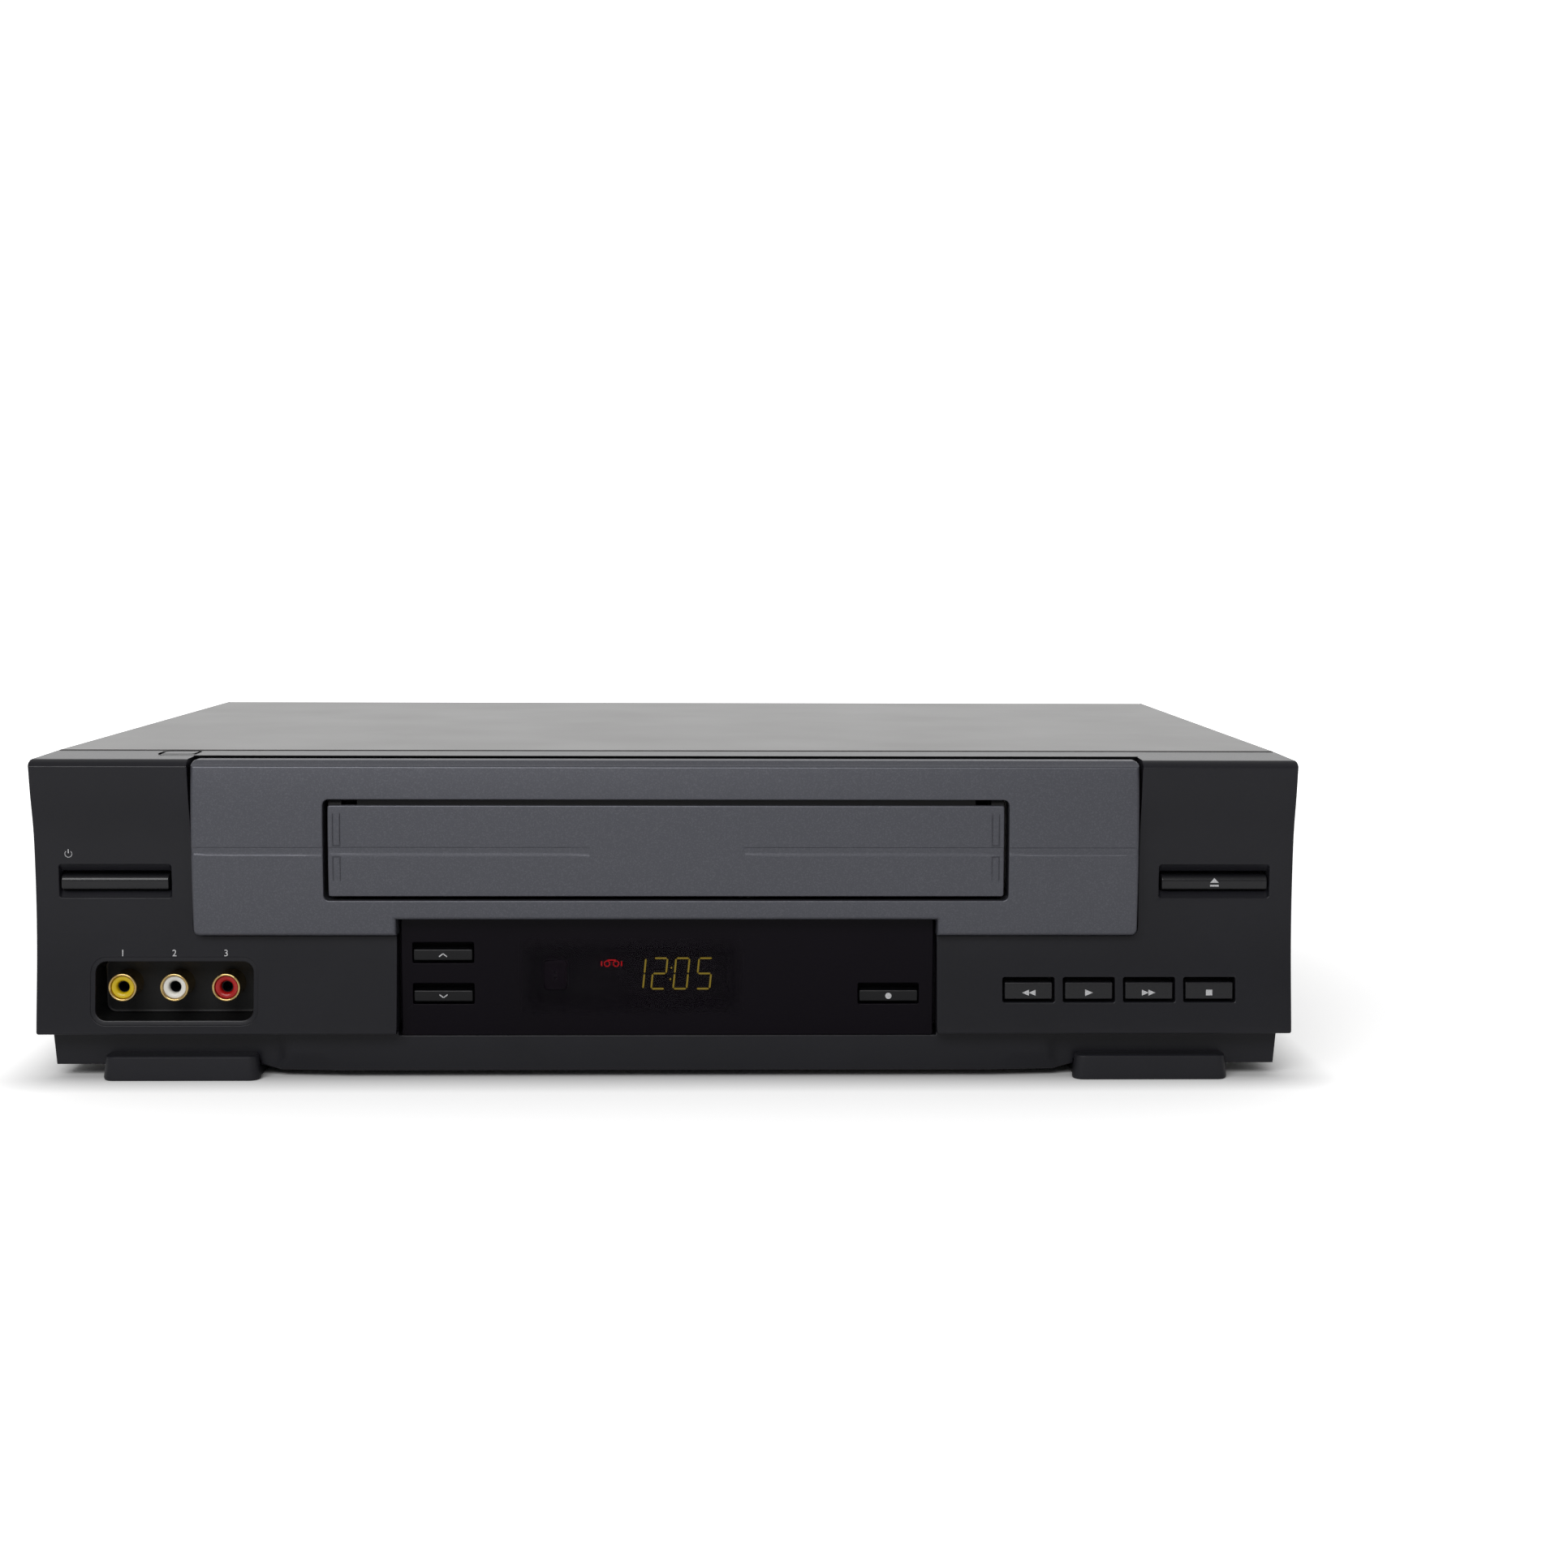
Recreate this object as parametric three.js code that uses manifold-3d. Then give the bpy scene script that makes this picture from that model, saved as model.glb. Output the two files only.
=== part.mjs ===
import * as THREE from 'three';
import { mergeVertices } from 'three/addons/utils/BufferGeometryUtils.js';
import Module from 'manifold-3d';

const wasm = await Module();
wasm.setup();

// A video cassette recorder. Lengths are millimetres: X to the right, Y back from the front, Z up.

// Whole machine
const machineWidth = 360;
const machineHalf = machineWidth / 2;
const machineHeight = 93.5;
const coverRear = 239;
const rearReach = 8;
const fitGap = 0.3;
const slideGap = 0.6;
const cutOver = 1;
const roundSides = 20;
const smallSides = 12;

// Front moulding: its hollow face, seen from the side, and its plinth
const panelDepth = 26;
const panelWall = 2.4;
const panelBottom = 13.9;
const lipFront = 1;
const lipRound = 1.3;
const faceHollow = 3.65;
const creaseDrop = 2.6;
const creaseHeight = machineHeight - creaseDrop;
const bevelDepth = 2.2;
const bevelRise = 1.9;
const panelTopDrop = 0.2;
const panelCorner = 2.5;
const faceHeightShares = [0, 0.1, 0.3, 0.62, 0.75, 0.9, 1];
const faceHollowShares = [0, 0.28, 0.8, 1, 0.86, 0.28, 0];
const faceSteps = 14;
const plinthFront = 6.3;
const plinthInset = 2.5;
const plinthTaper = 0.9;
const plinthBottom = 3.7;
const plinthSkirt = 1.5;
const plinthSkirtSide = 68;
const plinthSkirtHalf = machineHalf - plinthSkirtSide;

// Cassette door, hinged behind the fascia's upper edge
const cassetteHalf = 94;
const cassetteHeight = 25;
const doorPlay = 2.1;
const doorHalf = cassetteHalf + doorPlay;
const doorDrop = 10.9;
const doorHigh = creaseHeight - doorDrop;
const doorSpare = 1.1;
const doorLow = doorHigh - cassetteHeight - doorSpare;
const doorGapSide = 1.3;
const doorGapLow = 1.1;
const doorGapHigh = 1.6;
const doorSink = 0.5;
const doorThick = 2.4;
const doorPlainHalf = 22;
const doorArm = 3.6;
const hingeDepth = 4.8;
const hingeRise = 2.5;
const hingeHeight = doorHigh + hingeRise;
const hingePin = 1;
const hingeBoss = 1.25;
const hingeEar = 2;
const hingeRoom = 6.5;
const hingeSpace = doorHigh + hingeRoom;
const springWire = 0.5;
const springLength = 3.5;

// Silver fascia round the door
const fasciaSide = 45.3;
const fasciaHalf = machineHalf - fasciaSide;
const fasciaApron = 10;
const fasciaBottom = doorLow - fasciaApron;
const fasciaRise = 0.3;
const fasciaCrease = creaseHeight + fasciaRise;
const fasciaDrop = 0.5;
const fasciaTop = machineHeight - fasciaDrop;
const fasciaCrown = 220;
const fasciaCrownRise = 9.1;
const fasciaCrownHeight = doorLow + fasciaCrownRise;
const crownSteps = 8;
const fasciaWall = 2;
const fasciaDepth = 7;
const fasciaLip = 4.3;
const fasciaCorner = 3;
const fasciaFoot = 1.8;
const fasciaGap = 0.5;
const grooveRise = 12;
const grooveLow = doorLow + grooveRise;
const grooveTall = 2.1;
const grooveHigh = grooveLow + grooveTall;
const grooveDepth = 0.4;
const backingWall = 2;

// Display window and the tube behind it
const windowSide = 103.4;
const windowHalf = machineHalf - windowSide;
const windowLow = 12.7;
const windowTuck = 2.8;
const windowHigh = fasciaBottom + windowTuck;
const windowTall = windowHigh - windowLow;
const windowFront = 5.9;
const windowThick = 2;
const windowRim = 3;
const tubeHalfShare = 0.47;
const tubeHalf = windowHalf * tubeHalfShare;
const tubeLowShare = 0.244;
const tubeLow = windowLow + windowTall * tubeLowShare;
const tubeHighShare = 0.832;
const tubeHigh = windowLow + windowTall * tubeHighShare;
const tubeDepth = 6;

// Wide buttons: power on the left, eject on the right, each in a sloping pocket
const wideHalf = 15.2;
const wideSide = 22.7;
const wideCentre = machineHalf - wideSide;
const wideLow = 55.4;
const wideHigh = 59.6;
const widePocketHalf = 15.9;
const widePocketLow = 53;
const widePocketHigh = 62.5;
const widePocketDepth = 5.5;
const wideProud = 0.9;

// Small buttons: four transport keys on the right and three keys in the window
const buttonTravel = 1.2;
const keyHalf = 6.9;
const keyHoleHalf = 7.5;
const keyPitch = 17.43;
const keySide = 76.1;
const keyStart = machineHalf - keySide;
const keyRoom = fasciaBottom - panelBottom;
const keyLowShare = 0.323;
const keyLow = panelBottom + keyRoom * keyLowShare;
const keyHighShare = 0.49;
const keyHigh = panelBottom + keyRoom * keyHighShare;
const keyHoleLowShare = 0.3;
const keyHoleLow = panelBottom + keyRoom * keyHoleLowShare;
const keyHoleHighShare = 0.538;
const keyHoleHigh = panelBottom + keyRoom * keyHoleHighShare;
const keySink = 0.6;
const paneKeyHalf = 8.4;
const paneKeyHoleHalf = 8.8;
const paneKeyTall = 3.3;
const paneKeyHoleTall = 6.1;
const paneKeyDrop = 0.5;
const channelInset = 12.1;
const channelCentre = channelInset - windowHalf;
const paneUpShare = 0.709;
const channelUpLevel = windowLow + windowTall * paneUpShare;
const paneDownShare = 0.357;
const channelDownLevel = windowLow + windowTall * paneDownShare;
const recordInset = 12.95;
const recordCentre = windowHalf - recordInset;
const paneKeyProud = 0.7;
const stemHalf = 2;

// Front sockets in their recess
const recessSide = 16.7;
const recessLeft = recessSide - machineHalf;
const recessWide = 44.9;
const recessRight = recessLeft + recessWide;
const recessLow = 17.9;
const recessHigh = 34.6;
const recessCorner = 3;
const recessFloor = 13;
const socketPitchShare = 0.33;
const socketPitch = recessWide * socketPitchShare;
const socketShare = 0.4855;
const socketMiddle = recessLeft + recessWide * socketShare;
const socketLevel = 26.8;
const shellRadius = 4.15;
const shellWall = 0.4;
const shellFront = 5;
const insertGap = 0.25;
const insertBore = 1.9;
const insertSink = 0.4;
const insertBoreDepth = 8;

// Circuit boards
const boardThick = 1.6;
const frontBoard = 20;
const frontBoardSide = 5;
const frontBoardHalf = machineHalf - frontBoardSide;
const frontBoardHigh = 50;
const mainBoardSide = 8;
const mainBoardHalf = machineHalf - mainBoardSide;
const mainBoardFront = 30;
const mainBoardRear = 233;
const mainBoardLevel = 9;

// Sheet metal case
const sheet = 0.8;
const coverBend = 1.6;
const coverBottom = 5.5;
const coverLip = 9;
const ventCount = 9;
const ventPitch = 6;
const ventWidth = 2.4;
const ventLow = 52;
const ventDrop = 15.5;
const ventHigh = machineHeight - ventDrop;
const ventFront = 168;
const rearSheet = 1.2;
const baseLevel = 5;
const baseSheet = 1;
const baseFlange = 9;
const baseTongueSide = 12;
const baseTongueHalf = machineHalf - baseTongueSide;
const bossRadius = 4;
const screwHead = 3.2;
const screwHeadTall = 2;
const screwShank = 1.4;
const screwLength = 7;
const screwSide = 60;
const screwSpread = machineHalf - screwSide;

// Feet
const footHalf = 22.5;
const footSide = 40.2;
const footCentre = machineHalf - footSide;
const footFront = 2.6;
const footRear = 34;
const footTall = 6.5;
const footCorner = 3;
const footPlug = 3.7;
const footPlugTall = 7.5;
const rearFootRadius = 10;
const rearFootPlace = 205;

// Tape deck: a pressed plate on four posts
const deckSide = 22;
const deckHalf = cassetteHalf + deckSide;
const deckFront = 30;
const deckRear = 231;
const deckNotchLeft = 54;
const deckNotchFront = 206;
const deckLevel = 26.5;
const deckSheet = 1.5;
const deckPostInset = 10;
const deckPost = deckHalf - deckPostInset;
const deckPostPlaces = [[-deckPost, 42], [deckPost, 42], [-deckPost, 200], [deckPost, 196]];
const axleRadius = 2.5;

// Rear sockets
const tunerSide = 12;
const tunerLeft = tunerSide - machineHalf;
const tunerGap = 4;
const tunerRight = -deckHalf - tunerGap;
const tunerWide = tunerRight - tunerLeft;
const tunerFront = 185;
const tunerTall = 46;
const aerialShare = 1 / 3;
const aerialPlace = tunerLeft + tunerWide * aerialShare;
const aerialLow = 24;
const aerialHigh = 44;
const aerialRadius = 4.7;
const aerialNut = 6;
const aerialNutTall = 1.6;
const nutSides = 6;
const aerialBore = 1.2;
const aerialBoreDepth = 6;
const switchShare = 0.656;
const switchLeft = tunerLeft + tunerWide * switchShare;
const switchWide = 7;
const switchLevel = 34;
const switchTall = 6;
const switchDepth = 3.4;
const switchKnob = 4;
const switchKnobTall = 3.4;
const switchKnobReach = 3.6;
const switchTravel = 3;
const rearSocketInset = 15;
const rearSocketStart = deckNotchLeft + rearSocketInset;
const rearSocketPitch = 15;
const rearSocketLow = 24;
const rearSocketHigh = 40;
const rearBlockDeep = 14;
const rearBlockEdge = 9;
const bushSide = 30;
const bushPlace = machineHalf - bushSide;
const bushLevel = 22;
const bushBore = 3.4;
const bushNeck = 5.6;
const bushFlange = 8;
const bushFlangeTall = 2.4;

// Power parts soldered to the main board, in the room beside the deck
const sideRoom = machineHalf - deckHalf;
const coreLeftShare = 0.16;
const coreLeft = deckHalf + sideRoom * coreLeftShare;
const coreWideShare = 0.53;
const coreWide = sideRoom * coreWideShare;
const coreFront = 180;
const coreDeep = 30;
const coreTall = 26;
const windingShare = 0.15;
const windingInset = coreWide * windingShare;
const capacitorShare = 0.41;
const capacitorPlace = [deckHalf + sideRoom * capacitorShare, 160];
const capacitorRadiusShare = 0.156;
const capacitorRadius = sideRoom * capacitorRadiusShare;
const capacitorTall = 30;
const sinkLeftShare = 0.125;
const sinkLeft = deckHalf + sideRoom * sinkLeftShare;
const sinkFront = 100;
const sinkWideShare = 0.28;
const sinkWide = sideRoom * sinkWideShare;
const sinkDeep = 40;
const sinkTall = 34;
const sinkPlate = 2.4;
const finCount = 5;

// Reels and their idler
const reelPlace = [46, 99];
const reelDisc = 24;
const reelDiscTall = 2.3;
const reelHub = 9;
const reelHubTall = 3;
const reelSpindle = 5.5;
const reelSpindleTall = 17;
const reelSpline = 1.6;
const splineSides = 8;
const reelAxle = 3;
const idlerPivot = 132;
const idlerReach = 34;
const idlerRadius = 16;
const idlerTeeth = 20;
const armThick = 1.4;
const armHalf = 4;
const armLift = 3;

// Cassette carriage: it runs back on the brackets, then down onto the reels
const carriageIn = 70;
const carriageFront = 35;
const carriageRear = 94;
const carriageSheet = 1.2;
const carriageSideGap = 1.1;
const carriageFloorDrop = 1.7;
const carriageFloor = doorLow - carriageFloorDrop;
const carriageDown = carriageFloor - deckLevel - deckSheet - reelDiscTall - fitGap * 2;
const carriagePlay = 2.4;
const carriageRoof = carriageFloor + cassetteHeight + carriagePlay;
const ledgeWide = 6;
const ledgeRear = 76;
const stopWide = 9;
const stopTall = 14;
const carriagePins = [50, 85];
const carriagePinDrop = 13.6;
const carriagePinLevel = carriageRoof - carriagePinDrop;
const pinRadius = 1.5;
const pinPlay = 0.4;
const sliderFront = 44;
const sliderRear = 92;
const sliderGap = 0.9;
const sliderSheet = 1.4;
const sliderEnd = 4.7;
const sliderLow = carriagePinLevel - carriageDown - sliderEnd;
const runnerPins = [58, 78];
const runnerDrop = 5.6;
const runnerLevel = carriageRoof - runnerDrop;
const bracketGap = 0.8;
const bracketSheet = 1.4;
const bracketRear = 172;
const bracketRise = 6.4;
const bracketHigh = carriageRoof + bracketRise;
const bracketFoot = 12;

// Head drum, leaning back
const drumPlace = 198;
const drumRadius = 31;
const drumLean = 5.5;
const drumLowerTall = 14;
const drumUpperTall = 13;
const drumMotorRadius = 16;
const drumMotorTall = 8;
const drumShaft = 3;
const drumSplit = 0.4;

// Tape guides on their tracks
const guideSide = 38;
const guideStart = 150;
const guideTravel = 50;
const guideBaseHalf = 6;
const guideBaseTall = 2.6;
const guidePost = 2.2;
const guidePostTall = 27;
const guidePin = 1.9;
const guidePinDrop = 4;

// Capstan, pinch roller and heads
const capstanSide = 58;
const capstanPlace = [deckHalf - capstanSide, 172];
const capstanRadius = 2;
const capstanTop = 54;
const flywheelRadius = 22;
const flywheelLow = 15;
const flywheelTall = 7;
const motorPlateRadius = 31;
const motorPlateLevel = 12.3;
const motorPostRing = 27;
const pinchSide = 32;
const pinchPivot = [deckHalf - pinchSide, 172];
const pinchRadius = 6.5;
const pinchLow = 34.5;
const pinchTall = 14.5;
const pinchPin = 1.5;
const tensionSide = 36;
const tensionPivot = [tensionSide - deckHalf, 140];
const tensionReach = 22;
const tensionPinTall = 20;
const eraseSide = 54;
const eraseHead = [eraseSide - deckHalf, 166];
const controlHead = [53, 190];
const headWide = 9;
const headDeep = 7;
const headTall = 21;
const headBaseWide = 13;
const headBaseTall = 2;

// Loading motor, its worm and the cam gear
const wormPlace = 214;
const wormLevel = 38;
const wormRadius = 4;
const wormShaft = 1.2;
const motorSide = 4;
const motorLeft = motorSide - deckHalf;
const motorLong = 24;
const motorRight = motorLeft + motorLong;
const wormGap = 2;
const wormLeft = motorRight + wormGap;
const wormLong = 29;
const wormRight = wormLeft + wormLong;
const motorRadius = 8.5;
const motorBaseHalf = 5;
const motorBaseTall = 1.5;
const bearingWide = 3;
const camSide = 16;
const camPlace = wormLeft + camSide;
const camRadius = 20;
const camTeeth = 32;
const camTall = 7;
const camHub = 6;
const toothTall = 1.2;
const toothFootShare = 0.25;
const toothTipShares = [0.4, 0.75];

// Finishes
const blackPlastic = { color: 0x27272b, roughness: 0.5, metalness: 0 };
const silverPaint = { color: 0x505157, roughness: 0.45, metalness: 0.4 };
const smokedPane = { color: 0x120f16, roughness: 0.12, metalness: 0 };
const glossBlack = { color: 0x151517, roughness: 0.25, metalness: 0 };
const coverPaint = { color: 0x2c2b2d, roughness: 0.42, metalness: 0.2 };
const steel = { color: 0xa9abad, roughness: 0.35, metalness: 0.9 };
const gold = { color: 0xcaa04c, roughness: 0.25, metalness: 1 };
const yellowPlastic = { color: 0xd8b71c, roughness: 0.4, metalness: 0 };
const whitePlastic = { color: 0xeeece6, roughness: 0.4, metalness: 0 };
const redPlastic = { color: 0xa8161a, roughness: 0.4, metalness: 0 };
const rubber = { color: 0x1b1b1c, roughness: 0.8, metalness: 0 };
const boardGreen = { color: 0x5c6b2f, roughness: 0.6, metalness: 0 };
const glass = { color: 0x20262a, roughness: 0.1, metalness: 0 };
const gearPlastic = { color: 0xd9d6cb, roughness: 0.55, metalness: 0 };
const aluminium = { color: 0xc3c5c8, roughness: 0.3, metalness: 0.9 };
const ironCore = { color: 0x3b3a3c, roughness: 0.5, metalness: 0.4 };

// Solids from closed meshes
function toSolid(geometry) {
  geometry.deleteAttribute('normal');
  geometry.deleteAttribute('uv');
  const merged = mergeVertices(geometry);
  const places = merged.attributes.position.array;
  const corners = merged.index.array;
  const kept = [];
  let volume = 0;
  const a = new THREE.Vector3();
  const b = new THREE.Vector3();
  const c = new THREE.Vector3();
  for (let i = 0; i < corners.length; i += 3) {
    const [p, q, r] = corners.slice(i, i + 3);
    if (p === q || q === r || r === p) continue;
    kept.push(p, q, r);
    a.fromArray(places, p * 3);
    b.fromArray(places, q * 3);
    c.fromArray(places, r * 3);
    volume += a.dot(b.cross(c));
  }
  if (volume < 0) kept.reverse();
  const vertProperties = new Float32Array(places);
  return new wasm.Manifold(new wasm.Mesh({ numProp: 3, vertProperties, triVerts: new Uint32Array(kept) }));
}

function toGeometry(solid) {
  const mesh = solid.getMesh();
  const geometry = new THREE.BufferGeometry();
  geometry.setAttribute('position', new THREE.BufferAttribute(mesh.vertProperties, 3));
  geometry.setIndex(new THREE.BufferAttribute(mesh.triVerts, 1));
  geometry.computeVertexNormals();
  return geometry;
}

function join(solids) {
  return solids.reduce((whole, solid) => whole.add(solid));
}

function cut(solid, tools) {
  return tools.reduce((left, tool) => left.subtract(tool), solid);
}

// Basic shapes: blocks, rods, turned pieces and extruded outlines
function block([x0, x1], [y0, y1], [z0, z1]) {
  const geometry = new THREE.BoxGeometry(x1 - x0, y1 - y0, z1 - z0);
  geometry.translate((x0 + x1) / 2, (y0 + y1) / 2, (z0 + z1) / 2);
  return toSolid(geometry);
}

function rodX([x0, x1], y, z, radius, sides = smallSides) {
  const geometry = new THREE.CylinderGeometry(radius, radius, x1 - x0, sides);
  geometry.rotateZ(-Math.PI / 2);
  geometry.translate((x0 + x1) / 2, y, z);
  return toSolid(geometry);
}

function rodY(x, [y0, y1], z, radius, sides = smallSides) {
  const geometry = new THREE.CylinderGeometry(radius, radius, y1 - y0, sides);
  geometry.translate(x, (y0 + y1) / 2, z);
  return toSolid(geometry);
}

function rodZ(x, y, [z0, z1], radius, sides = smallSides) {
  const geometry = new THREE.CylinderGeometry(radius, radius, z1 - z0, sides);
  geometry.rotateX(Math.PI / 2);
  geometry.translate(x, y, (z0 + z1) / 2);
  return toSolid(geometry);
}

function outline(points) {
  return new THREE.Shape(points.map(([u, v]) => new THREE.Vector2(u, v)));
}

function extruded(shape, length) {
  return new THREE.ExtrudeGeometry(shape, { depth: length, bevelEnabled: false, curveSegments: 4 });
}

// A side outline of (y, z) points carried along X
function alongX(shape, [x0, x1]) {
  const geometry = extruded(shape, x1 - x0);
  geometry.rotateX(Math.PI / 2);
  geometry.rotateZ(Math.PI / 2);
  geometry.translate(x0, 0, 0);
  return toSolid(geometry);
}

// A front outline of (x, z) points carried along Y
function alongY(shape, [y0, y1]) {
  const geometry = extruded(shape, y1 - y0);
  geometry.rotateX(Math.PI / 2);
  geometry.translate(0, y1, 0);
  return toSolid(geometry);
}

// A plan outline of (x, y) points carried along Z
function alongZ(shape, [z0, z1]) {
  const geometry = extruded(shape, z1 - z0);
  geometry.translate(0, 0, z0);
  return toSolid(geometry);
}

// A rectangle whose lower and upper corners are rounded
function roundedRect([u0, u1], [v0, v1], lowRadius, highRadius) {
  const shape = new THREE.Shape();
  const right = -Math.PI / 2;
  shape.moveTo(u0 + lowRadius, v0);
  if (lowRadius > 0) shape.absarc(u1 - lowRadius, v0 + lowRadius, lowRadius, right, 0, false);
  else shape.lineTo(u1, v0);
  if (highRadius > 0) {
    shape.absarc(u1 - highRadius, v1 - highRadius, highRadius, 0, -right, false);
    shape.absarc(u0 + highRadius, v1 - highRadius, highRadius, -right, Math.PI, false);
  } else {
    shape.lineTo(u1, v1);
    shape.lineTo(u0, v1);
  }
  if (lowRadius > 0) shape.absarc(u0 + lowRadius, v0 + lowRadius, lowRadius, Math.PI, -right * 3, false);
  return shape;
}

// A toothed disc standing on the level z0
function toothedDisc(x, y, [z0, z1], tip, teeth, depth) {
  const points = [];
  for (let i = 0; i < teeth; i += 1) {
    const [tipStart, tipEnd] = toothTipShares;
    [[0, tip - depth], [toothFootShare, tip - depth], [tipStart, tip], [tipEnd, tip]].forEach(([share, radius]) => {
      const angle = ((i + share) / teeth) * 2 * Math.PI;
      points.push([x + radius * Math.cos(angle), y + radius * Math.sin(angle)]);
    });
  }
  return alongZ(outline(points), [z0, z1]);
}

// A flat arm between two points in plan, round at both ends
function planArm([xa, ya], [xb, yb], [z0, z1], half) {
  const angle = Math.atan2(yb - ya, xb - xa);
  const shape = new THREE.Shape();
  shape.absarc(xb, yb, half, angle - Math.PI / 2, angle + Math.PI / 2, false);
  shape.absarc(xa, ya, half, angle + Math.PI / 2, angle + Math.PI * 3 / 2, false);
  return alongZ(shape, [z0, z1]);
}

const both = [-1, 1];
const spread = (centre, half) => [centre - half, centre + half];
const mirrored = (side, [low, high]) => (side < 0 ? [-high, -low] : [low, high]);

const recorder = new THREE.Group();

function addPiece(name, solid, finish, parent = recorder) {
  const mesh = new THREE.Mesh(toGeometry(solid), new THREE.MeshStandardMaterial(finish));
  mesh.name = name;
  parent.add(mesh);
  return mesh;
}

// Levels and places that several pieces share
const machineDepth = coverRear + rearReach;
const rearOuter = coverRear - sheet - fitGap;
const rearInner = rearOuter - rearSheet;
const deckTop = deckLevel + deckSheet;
const baseTop = baseLevel + baseSheet;
const boardTop = mainBoardLevel + boardThick;
const coverHalf = machineHalf - fitGap;
const openingHalf = doorHalf + doorGapSide;
const openingLow = doorLow - doorGapLow;
const openingHigh = doorHigh + doorGapHigh;
const faceHeight = creaseHeight - panelBottom - lipRound;
const wallInner = fasciaDepth + fitGap;

// The hollow face as a smooth side curve of (y, z) points
const faceCurve = new THREE.SplineCurve(faceHeightShares.map((share, i) => new THREE.Vector2(
  lipFront + faceHollow * faceHollowShares[i],
  panelBottom + lipRound + faceHeight * share,
)));
const facePoints = faceCurve.getPoints(faceSteps).map((point) => [point.x, point.y]);

// How far back the hollow face lies at a height
function faceAt(height) {
  const next = facePoints.findIndex(([, z]) => z >= height);
  const [y1, z1] = facePoints[Math.max(next, 1)];
  const [y0, z0] = facePoints[Math.max(next, 1) - 1];
  return y0 + (y1 - y0) * ((height - z0) / (z1 - z0));
}

// How far back the crowned silver face lies at a height
function crownAt(height) {
  return (height - fasciaCrownHeight) ** 2 / (2 * fasciaCrown);
}

// The crowned face between two heights as (y, z) points, set back by an amount
function crownPoints(low, high, sink) {
  return Array.from({ length: crownSteps + 1 }, (_, i) => {
    const height = low + (high - low) * (i / crownSteps);
    return [crownAt(height) + sink, height];
  });
}

// Front moulding
const innerHalf = machineHalf - panelWall;
const panelTop = machineHeight - panelTopDrop;
const bevelEnd = lipFront + bevelDepth;
const bevelTop = creaseHeight + bevelRise;

function frontShell() {
  const side = outline([
    [panelDepth, panelBottom],
    [lipFront + lipRound, panelBottom],
    ...facePoints,
    [bevelEnd, bevelTop],
    [panelDepth, panelTop],
  ]);
  const front = roundedRect([-machineHalf, machineHalf], [panelBottom, machineHeight], lipRound, panelCorner);
  const body = alongX(side, [-machineHalf, machineHalf]).intersect(alongY(front, [0, machineDepth]));
  const floor = panelBottom + panelWall;
  const ceiling = creaseHeight - lipRound;
  const inside = facePoints.filter(([, z]) => z > floor && z < ceiling).map(([y, z]) => [y + panelWall, z]);
  const hollow = outline([
    [panelDepth + cutOver, floor],
    [faceAt(floor) + panelWall, floor],
    ...inside,
    [faceAt(ceiling) + panelWall, ceiling],
    [bevelEnd + panelWall, bevelTop - panelWall],
    [panelDepth + cutOver, panelTop - panelWall],
  ]);
  return body.subtract(alongX(hollow, [-innerHalf, innerHalf]));
}

function plinth() {
  const top = machineHalf - plinthInset;
  const low = top - plinthTaper;
  const skirt = plinthSkirtHalf;
  const join = panelBottom + panelWall / 2;
  const front = outline([
    [-top, join], [-low, plinthBottom], [-skirt - plinthSkirt, plinthBottom], [-skirt, plinthBottom - plinthSkirt],
    [skirt, plinthBottom - plinthSkirt], [skirt + plinthSkirt, plinthBottom], [low, plinthBottom], [top, join],
  ]);
  const hollow = block(spread(0, low - panelWall), [plinthFront + panelWall, panelDepth + cutOver], [-cutOver, panelBottom]);
  const notches = both.map((side) => block(
    spread(side * footCentre, footHalf + fitGap),
    [0, plinthFront + panelWall + cutOver],
    [-cutOver, footTall + fitGap],
  ));
  return cut(alongY(front, [plinthFront, panelDepth]), [hollow, ...notches]);
}

const openX = spread(0, openingHalf + cutOver);
const fasciaBay = [-fasciaHalf - fasciaGap, fasciaHalf + fasciaGap];
const windowBay = spread(0, windowHalf + slideGap);
const windowSeat = windowFront + windowThick + fitGap;
const fasciaSeat = block(spread(0, fasciaHalf + panelWall), [wallInner, wallInner + backingWall],
  [fasciaBottom - panelWall, bevelTop - panelWall]);
const windowFrame = block(spread(0, windowHalf + panelWall), [windowSeat, windowSeat + backingWall],
  [windowLow - slideGap, windowHigh + panelWall]);

// A wide button's sloping pocket, with the slot the button slides in
function widePocket(side) {
  const centre = side * wideCentre;
  const face = faceAt(widePocketLow);
  const floor = face + widePocketDepth;
  const well = block(spread(centre, widePocketHalf + panelWall), [face + fitGap, floor + panelWall],
    [widePocketLow - panelWall, widePocketHigh + panelWall]);
  const slope = outline([
    [0, widePocketLow], [face, widePocketLow], [floor, wideLow - fitGap],
    [floor, wideHigh + fitGap], [face + fitGap, widePocketHigh], [0, widePocketHigh],
  ]);
  const pocket = alongX(slope, spread(centre, widePocketHalf));
  const slot = block(spread(centre, wideHalf + fitGap), [face, floor + panelWall + cutOver],
    [wideLow - fitGap, wideHigh + fitGap]);
  return { well, cuts: [pocket, slot] };
}

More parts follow.
